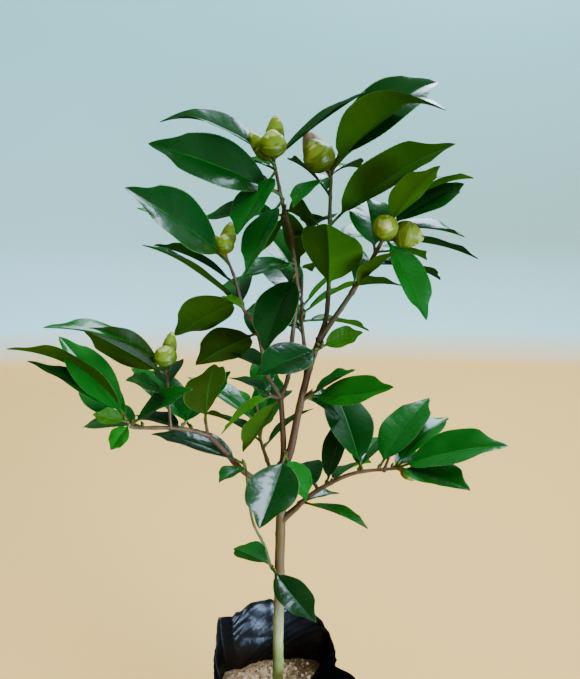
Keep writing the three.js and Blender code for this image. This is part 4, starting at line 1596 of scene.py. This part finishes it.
@dataclass
class FlowerBuds:
    """The flower and leaf buds: eggs whose skin shows the edges of overlapping scales.

    Attributes:
        plan: where they are.
        scales: how many scales show.
        scale_turn: the angle from one scale to the next.
        half_angle: half the angle that a scale reaches round the bud.
        step: how far each scale lies out from the next inner one, on a bud of the usual width.
        lip: how far a scale's edge stands out.
        rings: rings along the egg.
        sides: points in a ring.
    """

    plan: PlantPlan
    scales: int = 11
    scale_turn: float = 137.5
    half_angle: float = 84.0
    step: float = 0.13
    lip: float = 0.16
    rings: int = 46
    sides: int = 60

    STALK = 0.16
    STALK_PARTS = (-STALK / (1 - STALK), -0.06)
    STALK_RADIUS = 1.4
    EGG_PARTS = (0.01, 0.985)
    END_PART = 0.99
    CORE = 0.93
    SKEW = 0.8
    FULLNESS = 0.66
    FOOT_TOP, TIP_TOP = 0.3, 1.2
    STEP_WIDTH = 20.0
    SEED_TURN = 40
    PALE_BY_EGG, PALE_BY_SCALE = 0.62, 0.38
    SHADES = (0.3, 0.62, 0.84)
    FINISHES = (BUD_OLIVE, BUD_GREEN, BUD_PALE, BUD_CREAM, BUD_AMBER, BRACT)
    AMBER_EVERY, AMBER_FIRST = 5, 1
    BRACTS = {"crown_shoot": (0, 82, 168, 59, 37, 19)}
    BRACT_SEED = 3

    def skin(self, bud: Bud, egg: Array, turn: Array, seed: int) -> tuple[Array, Array]:
        """The egg's radius, and how near to a scale's tip each place is.

        The egg is a little less than W/2 sin(pi e^skew)^fullness. Scale k from the outermost covers the
        places within A sqrt(1 - (e / top)^2.4) of its own angle, where top rises with k, and a place takes
        the outermost scale that covers it. That scale lies out by step (count - k) + lip c^6, where c is
        how far the place is towards the scale's edge.

        Args:
            bud: the bud.
            egg: parts of the egg's length, one for each ring.
            turn: the angles round it.
            seed: turns the whole bud.

        Returns:
            The radius and the part of the scale's length, by ring and side.
        """
        number = np.arange(self.scales)[:, None, None]
        top = lerp(self.FOOT_TOP, self.TIP_TOP, number / (self.scales - 1))
        part = np.clip(egg, 0, 1)[None] / top
        middle = np.radians(self.scale_turn * number + self.SEED_TURN * seed)
        away = np.abs((turn[None] - middle + math.pi) % math.tau - math.pi) / math.radians(self.half_angle)
        reach = away**2 + part**2.4
        covers = reach < 1
        outer = np.argmax(covers, axis=0)
        bare = ~covers.any(axis=0)
        edge = np.take_along_axis(reach, outer[None], 0)[0]
        length = np.take_along_axis(part, outer[None], 0)[0]
        lying = self.step * (self.scales - outer) + self.lip * edge**6
        out = bud.width / self.STEP_WIDTH * np.where(bare, 0, lying)
        wave = np.sin(math.pi * np.clip(egg, 0, 1) ** self.SKEW)
        core = self.CORE * bud.width / 2 * np.clip(wave, 0, 1) ** self.FULLNESS
        radius = core + out * np.clip(3 * wave, 0, 1)
        return radius, np.where(bare, 1, length)

    def surface(self, bud: Bud, seed: int, finish: int | None = None) -> Surface:
        """A bud on its short stalk, darkest at the foot, or amber on some, and palest at its top and its scales'
        tips, where the paler top is partly a painted highlight.

        Args:
            bud: the bud.
            seed: turns it.
            finish: the number of its one finish, or nothing for the shades.

        Returns:
            The closed bud.
        """
        along, face, across = bud.directions()
        egg = np.concatenate([self.STALK_PARTS, np.linspace(*self.EGG_PARTS, self.rings)])[:, None]
        turn = np.arange(self.sides)[None] * math.tau / self.sides
        radius, length = self.skin(bud, egg, turn, seed)
        radius = np.maximum(radius, self.STALK_RADIUS * (egg < 0.5))
        reach = (self.STALK + (1 - self.STALK) * egg) * bud.length
        spoke = face * np.cos(turn)[..., None] + across * np.sin(turn)[..., None]
        rings = bud.base + along * reach[..., None] + spoke * radius[..., None]
        # The paleness that grows towards the bud's top is partly a painted highlight on its lit top; the paleness
        # by scale is the scales' own pale tips.
        pale = self.PALE_BY_EGG * np.clip(egg, 0, 1) + self.PALE_BY_SCALE * np.clip(length, 0, 1)
        shade = np.searchsorted(self.SHADES, pale)
        if seed % self.AMBER_EVERY == self.AMBER_FIRST:
            shade = np.where(shade == 0, self.FINISHES.index(BUD_AMBER), shade)
        bands = np.vstack([shade[:1], shade])
        if finish is not None:
            bands = np.full_like(bands, finish)
        end = bud.base + along * bud.length * self.END_PART
        return Surface.loft(rings[None], bud.base[None], end[None], bands[None])

    def build(self) -> None:
        """Makes one piece of all buds."""
        buds = [bud for shoot in self.plan.shoots.values() for bud in self.plan.buds(shoot)]
        surfaces = [self.surface(bud, number) for number, bud in enumerate(buds)]
        for name, (twig, along, *sizes) in self.BRACTS.items():
            bract = Bud(self.plan.on_twig(self.plan.shoots[name], twig, along), *sizes)
            surfaces.append(self.surface(bract, self.BRACT_SEED, self.FINISHES.index(BRACT)))
        nodes = [name for name, shoot in self.plan.shoots.items() if shoot.buds]
        add_piece("buds", Surface.joined(surfaces), self.FINISHES, Slot.FOLIAGE, nodes)


@dataclass(frozen=True)
class Spread:
    """A stretch of the way round the bag.

    Attributes:
        size: how far the film moves or stands there.
        middle: the heading of its middle.
        half: half its width, in degrees.
    """

    size: float
    middle: float
    half: float

    def at(self, heading: Array) -> Array:
        """1 over the middle quarter of the stretch, and smoothly down to 0 beyond its ends."""
        away = np.abs((heading - self.middle + 180) % 360 - 180)
        return 1 - smoothstep(away, 0.25 * self.half, self.half)


@dataclass(frozen=True)
class Folds:
    """A pattern of folds in the film.

    Attributes:
        seed: picks them.
        around: how many go round the bag.
        length: how long each is, upwards.
        slant: how many of them 1 mm upwards passes.
    """

    seed: int
    around: int
    length: float
    slant: float = 0.0

    def places(self, heading: Array, height: Array) -> tuple[Array, Array]:
        """The pattern's own places: heading / 360 around + slant height, and height / length."""
        return heading / 360 * self.around + self.slant * height, height / self.length

    def sharp(self, heading: Array, height: Array) -> Array:
        """Sharp creases, from -1 to 1."""
        return Noise(self.seed, self.around).ridged(*self.places(heading, height))

    def soft(self, heading: Array, height: Array) -> Array:
        """Soft dents, from -1 to 1."""
        return Noise(self.seed, self.around).rough(*self.places(heading, height))


@dataclass
class GrowBag:
    """The soft black bag, as one thin skin from its underside over the rim and down inside.

    Attributes:
        radius: its radius up the body.
        foot_radius: its radius at the ground.
        taper_height: where the body is full.
        heel: how deep and how high the rounded heel is.
        crumple: how strong the three-cornered crumple is, the heading of a corner and where it starts.
        rim_height: the rim's middle height.
        rim_waves: the rim's waves as (size, waves round the bag, heading of a crest).
        wall: the film's thickness as it shows.
        soil_edge: the height of the compost's edge.
        crease: how far the creases of the free film stand out.
        dent: how far the dents of the filled body stand out.
        flap: how far the cut edge is turned out.
        flap_height: the height over which it turns.
        corner: how far the pinched corner stands out, with its heading and its spread to either side.
        raised: how far the rim stands higher at the right.
        slope: how far the film slopes in over the compost at the back.
        overlap: how near to the middle the folded-in film comes at the right, where its inside takes a near-black,
            dull finish as painted shade.
        lifted: how high it lies over the compost there.
        sides: points round the bag.
    """

    radius: float = 54.0
    foot_radius: float = 49.0
    taper_height: float = 60.0
    heel: tuple[float, float] = (3.0, 14.0)
    crumple: tuple[float, float, float] = (2.2, 165.0, 90.0)
    rim_height: float = 184.0
    rim_waves: tuple[Triple, ...] = ((13, 1, 125), (7, 2, 120), (2, 7, 0))
    wall: float = 0.8
    soil_edge: float = 146.0
    crease: float = 2.0
    dent: float = 0.7
    flap: Spread = Spread(17.0, -17.0, 17.0)
    flap_height: float = 24.0
    corner: tuple[float, float, float, float] = (8.5, 151.0, 7.0, 17.0)
    raised: Spread = Spread(8.0, 42.0, 40.0)
    slope: Spread = Spread(13.0, 100.0, 66.0)
    overlap: Spread = Spread(18.0, -12.0, 62.0)
    lifted: float = 6.5
    sides: int = 360

    CRUMPLE_INSET = 2.0
    RIPPLE = (0.8, 5, 5.0)
    FREE = (118.0, 165.0)
    FOOT_FADE = (2.0, 16.0)
    UPRIGHT_START = (12.0, 40.0)
    CORNER_START = (105.0, 8.0)
    BURIED, LIP = 2.0, 0.3
    SLACK = 1.4
    PAINTED_SHADE_FROM = 0.3
    INNER_DEPTH = 14.0
    UNDERSIDE = (0.3, 0.7, 0.94)
    RINGS = (62, 26, 52)
    CUT_ROUGH, CUT_SHARP = Folds(5, 36, 1.0), Folds(6, 24, 1.0)
    STEEP, LEVEL = Folds(31, 30, 40.0, 0.154), Folds(32, 12, 15.0, -1 / 26)
    FINE = Folds(33, 60, 6.0, 1 / 9)
    UPRIGHT, DENTS = Folds(34, 16, 60.0), Folds(35, 9, 24.0)
    SLACK_FOLDS = Folds(36, 20, 1 / 3, 2.0)

    def headings(self) -> Array:
        """The heading of each point of a ring, in degrees."""
        return np.arange(self.sides) * 360 / self.sides

    def body_radius(self, heading: Array, height: Array) -> Array:
        """How far the film stands from the axis, as in the solid.

        The body widens from the foot and has a heel as a quarter circle, a crumple
        size cos 3 (heading - corner) - inset that grows towards the rim, and a ripple
        size cos count (heading + height / rise).

        Args:
            heading: headings in degrees.
            height: heights, in the same shape.

        Returns:
            The radius at each place.
        """
        body = lerp(self.foot_radius, self.radius, np.minimum(1, height / self.taper_height))
        deep, high = self.heel
        heel = deep * (1 - np.sqrt(1 - (1 - np.minimum(1, height / high)) ** 2))
        size, corner, start = self.crumple
        crumple = size * np.cos(3 * np.radians(heading - corner)) - self.CRUMPLE_INSET
        ripple, count, rise = self.RIPPLE
        wave = ripple * np.cos(count * np.radians(heading + height / rise))
        return body - heel + smoothstep(height, start, self.rim_height) * crumple + wave

    def rim(self, heading: Array) -> Array:
        """The rim's height: its waves, the part that stands higher, and the unevenness of a cut edge.

        Args:
            heading: headings in degrees.

        Returns:
            The height at each heading.
        """
        waves = sum(
            size * np.cos(count * np.radians(heading - crest)) for size, count, crest in self.rim_waves
        )
        level = 0 * heading
        cut = 0.9 * self.CUT_ROUGH.soft(heading, level) + 1.3 * self.CUT_SHARP.sharp(heading, level)
        return self.rim_height + waves + cut + self.raised.size * self.raised.at(heading)

    def creases(self, heading: Array, height: Array) -> Array:
        """How far the film's folds stand out.

        The free film has crease (0.55 steep + 0.4 level) + 0.22 fine, and the filled body has
        dent (dents + 0.6 upright) + 0.12 fine, fading out at the foot.

        Args:
            heading: headings in degrees.
            height: heights, in the same shape.

        Returns:
            The offset along the radius.
        """
        place = (heading, height)
        fine = self.FINE.soft(*place)
        folds = 0.55 * self.STEEP.sharp(*place) + 0.4 * self.LEVEL.sharp(*place)
        loose = self.crease * folds + 0.22 * fine
        upright = self.UPRIGHT.sharp(*place) * smoothstep(height, *self.UPRIGHT_START)
        filled = self.dent * (self.DENTS.soft(*place) + 0.6 * upright) + 0.12 * fine
        return lerp(filled * smoothstep(height, *self.FOOT_FADE), loose, smoothstep(height, *self.FREE))

    def pinch(self, heading: Array) -> Array:
        """1 at the pinched corner's sharp edge, falling straight to 0 on either side."""
        _, middle, before, after = self.corner
        away = (heading - middle + 180) % 360 - 180
        return np.clip(1 - np.where(away < 0, -away / before, away / after), 0, 1)

    def outer_ring(self, height: Array) -> Array:
        """The outer face: the body with its folds, which are calmer at the pinched corner, and the flap.

        Args:
            height: a height for each heading.

        Returns:
            The ring's points.
        """
        heading = self.headings()
        rim = self.rim(heading)
        turned = smoothstep(height, rim - self.flap_height, rim) ** 1.5
        flap = self.flap.size * self.flap.at(heading) * turned
        pinch = self.pinch(heading)
        start, below = self.CORNER_START
        corner = self.corner[0] * pinch * smoothstep(height, start, rim - below)
        folds = self.creases(heading, height) * (1 - 0.8 * np.sqrt(pinch))
        radius = self.body_radius(heading, height) + folds + flap + corner
        turn = np.radians(heading)
        return np.stack([radius * np.cos(turn), radius * np.sin(turn), height], -1)

    def inner_ring(self, part: float) -> Array:
        """The inner face: the outer one, a wall's thickness in.

        Over the slope the film comes in by (1 - part)^0.6 of the slope's size. Over the overlap it comes
        (1 - part)^0.8 of the way to the overlap's size from the middle, with creases of its own, and lies
        (1 - part)^3 of its full lift higher.

        Args:
            part: from 0, a little below the compost's edge, to 1 at the rim.

        Returns:
            The ring's points.
        """
        heading = self.headings()
        height = lerp(self.soil_edge - self.BURIED, self.rim(heading) - self.LIP, part)
        wall = self.outer_ring(height)
        out = np.linalg.norm(wall[:, :2], axis=1)
        folded, down = self.overlap.at(heading), 1 - part
        share = folded * down**0.8
        slack = self.SLACK * self.SLACK_FOLDS.sharp(heading, 0 * heading + part) * share
        sloping = self.slope.size * self.slope.at(heading) * down**0.6
        inner = lerp(out - self.wall - sloping, self.overlap.size, share) + slack
        lifted = height + self.lifted * folded * down**3
        return np.concatenate([wall[:, :2] * (inner / out)[:, None], lifted[:, None]], axis=1)

    def surface(self) -> Surface:
        """The whole skin, in rings from the middle of the underside outwards, up, and down inside."""
        heading, rim = self.headings(), self.rim(self.headings())
        low, high, down = self.RINGS
        flat = self.outer_ring(np.zeros(self.sides))
        under = [flat * np.array((share, share, 0)) for share in self.UNDERSIDE]
        levels = np.linspace(0, self.soil_edge, low)
        body = [self.outer_ring(np.full(self.sides, height)) for height in levels]
        upper = [self.outer_ring(lerp(self.soil_edge, rim, part)) for part in np.linspace(0, 1, high)[1:]]
        inside = [self.inner_ring(part) for part in np.linspace(1, 0, down)]
        end = np.array((0, 0, self.soil_edge - self.INNER_DEPTH))
        bottom = inside[-1] * np.array((1, 1, 0)) + end
        rings = np.stack([*under, *body, *upper, *inside, bottom])
        shade = np.zeros((1, len(rings) + 1, self.sides), int)
        # Painted shade: the inside of the folded-in film takes the near-black, dull finish.
        shade[:, -len(inside) - 2:] = self.overlap.at(heading) > self.PAINTED_SHADE_FROM
        return Surface.loft(rings[None], np.zeros((1, 3)), end[None], shade)

    def build(self) -> None:
        """Makes the bag, shiny but for the inside of the folded-in film, which is painted shade, near-black and
        dull.
        """
        add_piece("bag_film", self.surface(), [FILM, FILM_PAINTED_SHADE], Slot.FILM, ["bag"])


@dataclass
class Compost:
    """The compost's lumpy surface, with loose crumbs on it, darker towards +X with painted shade.

    Attributes:
        bag: the bag that it fills.
        top: the height of its middle.
        bottom: how far down it is made.
        lumps: how high its lumps are.
        painted_shadow: the places along x where its painted shade turns half and then full.
        crumbs: how many loose crumbs lie on it.
        crumb: a crumb's least radius, and how much larger the largest are.
        chips: where the pink chips lie thickest, as x, y and radius.
        chip_shares: the share of chips among the crumbs there, and elsewhere.
        crumb_shadow_from: the place along x from which crumbs take painted shade, and how far it varies.
        sides: points round it.
    """

    bag: GrowBag
    top: float = 150.0
    bottom: float = 128.0
    lumps: float = 2.4
    painted_shadow: tuple[float, float] = (4.0, 16.0)
    crumbs: int = 1800
    crumb: tuple[float, float] = (0.5, 2.1)
    chips: Triple = (-30.0, 14.0, 13.0)
    chip_shares: tuple[float, float] = (0.5, 0.05)
    crumb_shadow_from: tuple[float, float] = (12.0, 10.0)
    sides: int = 180

    FALL = (3.0, 10.0, 52.0)
    SMOOTH = (5.0, 14.0)
    CHIP_EXTRA = 0.5
    UNSHADED_EVERY = 6
    INSET = 2.5
    RINGS = 70
    FINISHES = (COMPOST, CRUMB_DARK, CRUMB_TAN, CRUMB_PINK, COMPOST_PAINTED_HALF_SHADE, COMPOST_PAINTED_SHADE, CRUMB_PAINTED_SHADE)
    LUMPS = ((51, 9.0, 20, 0.6), (52, 4.0, 30, 0.5))
    GRAIN = (53, 1.6, 32, 0.25)
    SHADOW_NOISE = (54, 7.0, 20, 6.0)
    FILM_LIFTS = (-8, -4, 0)
    FILM_PART = 0.12
    CLEARANCE = 1.0
    FIRST_SHARE = 0.02
    SCATTER = 7.3
    CRUMB_SEED = 61
    CRUMB_RISES = (-48, 0, 48)
    CRUMB_SIDES = 6
    CRUMB_SHAPES = ((0.8, 0.6, 0.3), (1.3, 1.0, 0.7))
    CRUMB_ROUGHNESS = (0.7, 1.25)
    CRUMB_LIFT = -0.1
    CRUMB_POLE = 0.9

    def ground(self, x: Array, y: Array) -> Array:
        """The surface's height: noise for the lumps and the grain, and a smooth fall towards the edge.

        A kind of noise is given by its seed, cell size, shift and share.

        Args:
            x: places along x.
            y: places along y, in the same shape.

        Returns:
            The height at each place.
        """
        lumps = sum(
            share * Noise(seed).rough(x / size + shift, y / size + shift)
            for seed, size, shift, share in self.LUMPS
        )
        seed, size, shift, share = self.GRAIN
        grain = share * Noise(seed).at(x / size + shift, y / size + shift)
        away = np.hypot(x, y)
        fall, near, far = self.FALL
        level = self.top - fall * smoothstep(away, near, far)
        return level + smoothstep(away, *self.SMOOTH) * self.lumps * lumps + grain

    def numbers(self, *finishes: Finish) -> list[int]:
        """The numbers of some finishes."""
        return [self.FINISHES.index(finish) for finish in finishes]

    def bed(self) -> Surface:
        """The surface, which darkens in two steps of painted shade past a wandering line, and its hidden side."""
        heading = np.arange(self.sides) * math.tau / self.sides
        film = [self.bag.outer_ring(np.full(self.bag.sides, self.top + lift)) for lift in self.FILM_LIFTS]
        skip = self.bag.sides // self.sides
        edge = np.linalg.norm(np.stack(film)[:, ::skip, :2], axis=-1).min(0) - self.bag.wall - self.CLEARANCE
        shares = np.linspace(self.FIRST_SHARE, 1, self.RINGS)[:, None]
        x, y = shares * edge * np.cos(heading), shares * edge * np.sin(heading)
        rings = np.stack([x, y, self.ground(x, y)], -1)
        foot = rings[-1] * np.array((1, 1, 0)) + np.array((0, 0, self.bottom))
        # Painted shade: past a wandering line along x the compost takes its half-shaded and then its shaded copy.
        seed, size, shift, wander = self.SHADOW_NOISE
        painted_shadow = np.digitize(x + wander * Noise(seed).rough(x / size + shift, y / size + shift), self.painted_shadow)
        shade = np.array(self.numbers(COMPOST, COMPOST_PAINTED_HALF_SHADE, COMPOST_PAINTED_SHADE))[painted_shadow]
        shade = np.concatenate([shade[:1], shade, shade[-1:]])
        rings = np.concatenate([rings, foot[None]])
        top, bottom = np.array([[0, 0, self.top]]), np.array([[0, 0, self.bottom]])
        return Surface.loft(rings[None], top, bottom, shade)

    def crumb_finishes(self, draw: np.random.Generator, x: Array, y: Array) -> Array:
        """Each crumb's finish number: chips by their share, crumbs in painted shade past a varying x, or dark and
        tan.

        Args:
            draw: the random numbers.
            x: the crumbs' places along x.
            y: their places along y.

        Returns:
            The number for each crumb.
        """
        dark, tan, pink, shaded_crumb = self.numbers(CRUMB_DARK, CRUMB_TAN, CRUMB_PINK, CRUMB_PAINTED_SHADE)
        middle_x, middle_y, radius = self.chips
        share = np.where(np.hypot(x - middle_x, y - middle_y) < radius, *self.chip_shares)
        chip = draw.uniform(0, 1, self.crumbs) < share
        kind = np.where(chip, pink, draw.choice([dark, tan], self.crumbs))
        # Painted shade: past the varying x, every crumb but a chip or every sixth one takes the shaded finish.
        number = np.arange(self.crumbs)
        start, varies = self.crumb_shadow_from
        painted_shadow = x + varies * np.sin(self.SCATTER * number) > start
        return np.where(painted_shadow & (kind != pink) & (number % self.UNSHADED_EVERY > 0), shaded_crumb, kind)

    def loose(self) -> Surface:
        """Crumbs: rough three-ringed lumps of six sides, strewn evenly within the film and half sunk.

        Each is a ball, roughened point by point, flattened, and turned by a random rotation.
        """
        draw = np.random.default_rng(self.CRUMB_SEED)
        heading = draw.uniform(0, math.tau, self.crumbs)
        edge = np.linalg.norm(self.bag.inner_ring(self.FILM_PART)[:, :2], axis=1)
        least, larger = self.crumb
        size = least + larger * draw.uniform(0, 1, self.crumbs) ** 4
        beside = (np.degrees(heading) * self.bag.sides / 360).astype(int) % self.bag.sides
        share = np.sqrt(draw.uniform(self.FIRST_SHARE, 1, self.crumbs))
        away = (edge[beside] - self.INSET - size) * share
        x, y = away * np.cos(heading), away * np.sin(heading)
        kind = self.crumb_finishes(draw, x, y)
        size = np.where(kind == self.FINISHES.index(CRUMB_PINK), self.CHIP_EXTRA + size, size)
        flat = draw.uniform(*self.CRUMB_SHAPES, (self.crumbs, 3))
        rise = np.radians(self.CRUMB_RISES)[:, None]
        turn = np.arange(self.CRUMB_SIDES)[None] * math.tau / self.CRUMB_SIDES
        level = np.cos(rise)
        ball = np.stack([level * np.cos(turn), level * np.sin(turn), np.sin(rise) + 0 * turn], -1)
        rough = draw.uniform(*self.CRUMB_ROUGHNESS, (self.crumbs, *ball.shape[:2], 1))
        rings = ball * rough * (flat * size[:, None])[:, None, None]
        tilt = np.linalg.qr(draw.normal(size=(self.crumbs, 3, 3)))[0]
        tilt = tilt * np.sign(np.linalg.det(tilt))[:, None, None]
        rings = np.einsum("brsi,bij->brsj", rings, tilt)
        place = np.stack([x, y, self.ground(x, y) + self.CRUMB_LIFT * size], -1)
        poles = tilt[:, 2] * (size * flat[:, 2])[:, None] * self.CRUMB_POLE
        rings = rings + place[:, None, None]
        return Surface.loft(rings, place - poles, place + poles, kind[:, None, None])

    def build(self) -> None:
        """Makes the compost."""
        add_piece("compost", Surface.joined([self.bed(), self.loose()]), self.FINISHES, Slot.SOIL, ["soil"])


@dataclass
class AreaLight:
    """A soft light.

    Attributes:
        name: its name.
        place: where it is, in metres.
        target: what it points at, in metres.
        size: its width and height, in metres.
        power: its power in watts.
        colour: its colour.
        shines: whether glossy surfaces mirror it.
        beam: how wide its beam is, in degrees.
    """

    name: str
    place: Triple
    target: Triple
    size: tuple[float, float]
    power: float
    colour: Colour
    shines: bool = True
    beam: float = 180.0

    def build(self) -> None:
        """Makes the light, unseen by the camera itself."""
        lamp = bpy.data.lights.new(self.name, "AREA")
        lamp.shape = "RECTANGLE"
        lamp.size, lamp.size_y = self.size
        lamp.spread = math.radians(self.beam)
        lamp.energy = self.power
        lamp.color = linear(self.colour)[:3]
        light = bpy.data.objects.new(self.name, lamp)
        light.location = self.place
        light.rotation_euler = (Vector(self.target) - Vector(self.place)).to_track_quat("-Z", "Y").to_euler()
        light.visible_camera = False
        light.visible_glossy = self.shines
        bpy.context.scene.collection.objects.link(light)


@dataclass
class Studio:
    """The pale round room, the lights and the camera.

    Attributes:
        radius: the room's radius, in millimetres.
        behind: how far behind the plant its wall stands.
        bend: the radius between floor and wall.
        height: how high the wall is.
        sides: steps round the room.
        sky: the colour and strength of the light from above.
        lens: the camera's focal length.
        camera_place: where the camera stands, in metres.
        camera_tilt: its angle from straight down, in degrees.
        lights: the lights. The leaf light stands close over the front leaf, for its broad gloss.
    """

    radius: float = 5000.0
    behind: float = 1600.0
    bend: float = 350.0
    height: float = 3400.0
    sides: int = 180
    sky: tuple[Colour, float] = ((226, 238, 246), 0.08)
    lens: float = 35.36
    camera_place: Triple = (0.0105, -0.48, 0.602)
    camera_tilt: float = 74.4
    lights: tuple[AreaLight, ...] = (
        AreaLight("window", (0.66, 1.12, 1.9), (0.0, 0.0, 0.4), (1.2, 1.0), 60.0, (208, 232, 255)),
        AreaLight(
            "low_window", (0.95, -0.95, 0.28), (0.0, 0.0, 0.2), (0.8, 0.28), 6.2, (186, 216, 255), beam=50.0
        ),
        AreaLight(
            "leaf_light", (0.015, -0.017, 0.445), (-0.005, -0.043, 0.362), (0.026, 0.016), 0.0085,
            (214, 234, 255), beam=80.0
        ),
        AreaLight("ceiling", (0.0, -0.2, 2.8), (0.0, 0.3, 0.0), (3.0, 3.0), 92.0, (250, 252, 255), False),
        AreaLight("wall_wash", (0.0, 0.7, 2.7), (0.0, 1.6, 0.7), (2.4, 0.4), 22.0, (214, 238, 255), False),
        AreaLight("front_fill", (0.9, -1.7, 1.5), (0.0, 0.0, 0.4), (1.6, 1.2), 14.0, (255, 250, 244), False),
    )

    FLOOR_START = 100.0
    RINGS = (16, 25)

    def sweep(self) -> None:
        """The floor and wall as one sheet, unseen in gloss: flat rings, a quarter circle, then upright."""
        flat, curved = self.RINGS
        turn = np.radians(np.linspace(0, 90, curved))
        start = self.radius - self.bend
        level = np.linspace(self.FLOOR_START, start, flat)
        away = np.concatenate([level, start + self.bend * np.sin(turn), [self.radius]])
        z = np.concatenate([np.zeros(flat), self.bend * (1 - np.cos(turn)), [self.height]])
        heading = -np.arange(self.sides + 1)[None] * math.tau / self.sides
        x = away[:, None] * np.cos(heading)
        y = away[:, None] * np.sin(heading) + self.behind - self.radius
        grid = np.stack([x, y, np.broadcast_to(z[:, None], x.shape)], -1)
        mesh = Surface.sheet(grid).mesh("studio_sweep")
        mesh.materials.append(FLOOR.material())
        floor = bpy.data.objects.new("studio_sweep", mesh)
        bpy.context.scene.collection.objects.link(floor)
        floor.visible_glossy = False
        floor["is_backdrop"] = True

    def surroundings(self) -> None:
        """Even pale light from all round."""
        world = bpy.data.worlds.new("studio_air")
        world.use_nodes = True
        backdrop = world.node_tree.nodes["Background"]
        backdrop.inputs["Color"].default_value = linear(self.sky[0])
        backdrop.inputs["Strength"].default_value = self.sky[1]
        bpy.context.scene.world = world

    def camera(self) -> None:
        """The camera, at the photograph's angle."""
        data = bpy.data.cameras.new("camera")
        data.lens = self.lens
        camera = bpy.data.objects.new("camera", data)
        camera.location = self.camera_place
        camera.rotation_euler = (math.radians(self.camera_tilt), 0, 0)
        bpy.context.scene.collection.objects.link(camera)
        bpy.context.scene.camera = camera

    def build(self) -> None:
        """Makes the sweep, the lights and the camera."""
        self.sweep()
        self.surroundings()
        for light in self.lights:
            light.build()
        self.camera()


def main() -> None:
    """Loads the frame, dresses the plant piece by piece, and works out how large it is."""
    logging.basicConfig(level=logging.INFO, format="%(name)s: %(message)s")
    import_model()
    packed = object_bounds()
    plan = PlantPlan(LIMBS, SHOOTS)
    leaves = plan.leaves()
    Studio().build()
    Wood(plan).build()
    Twigs(plan, leaves).build()
    Foliage(plan, leaves).build()
    FlowerBuds(plan).build()
    bag = GrowBag()
    bag.build()
    Compost(bag).build()
    sizes = {name: [list(corner) for corner in box] for name, box in (("cad", packed), ("visual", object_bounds()))}


if __name__ == "__main__":
    main()
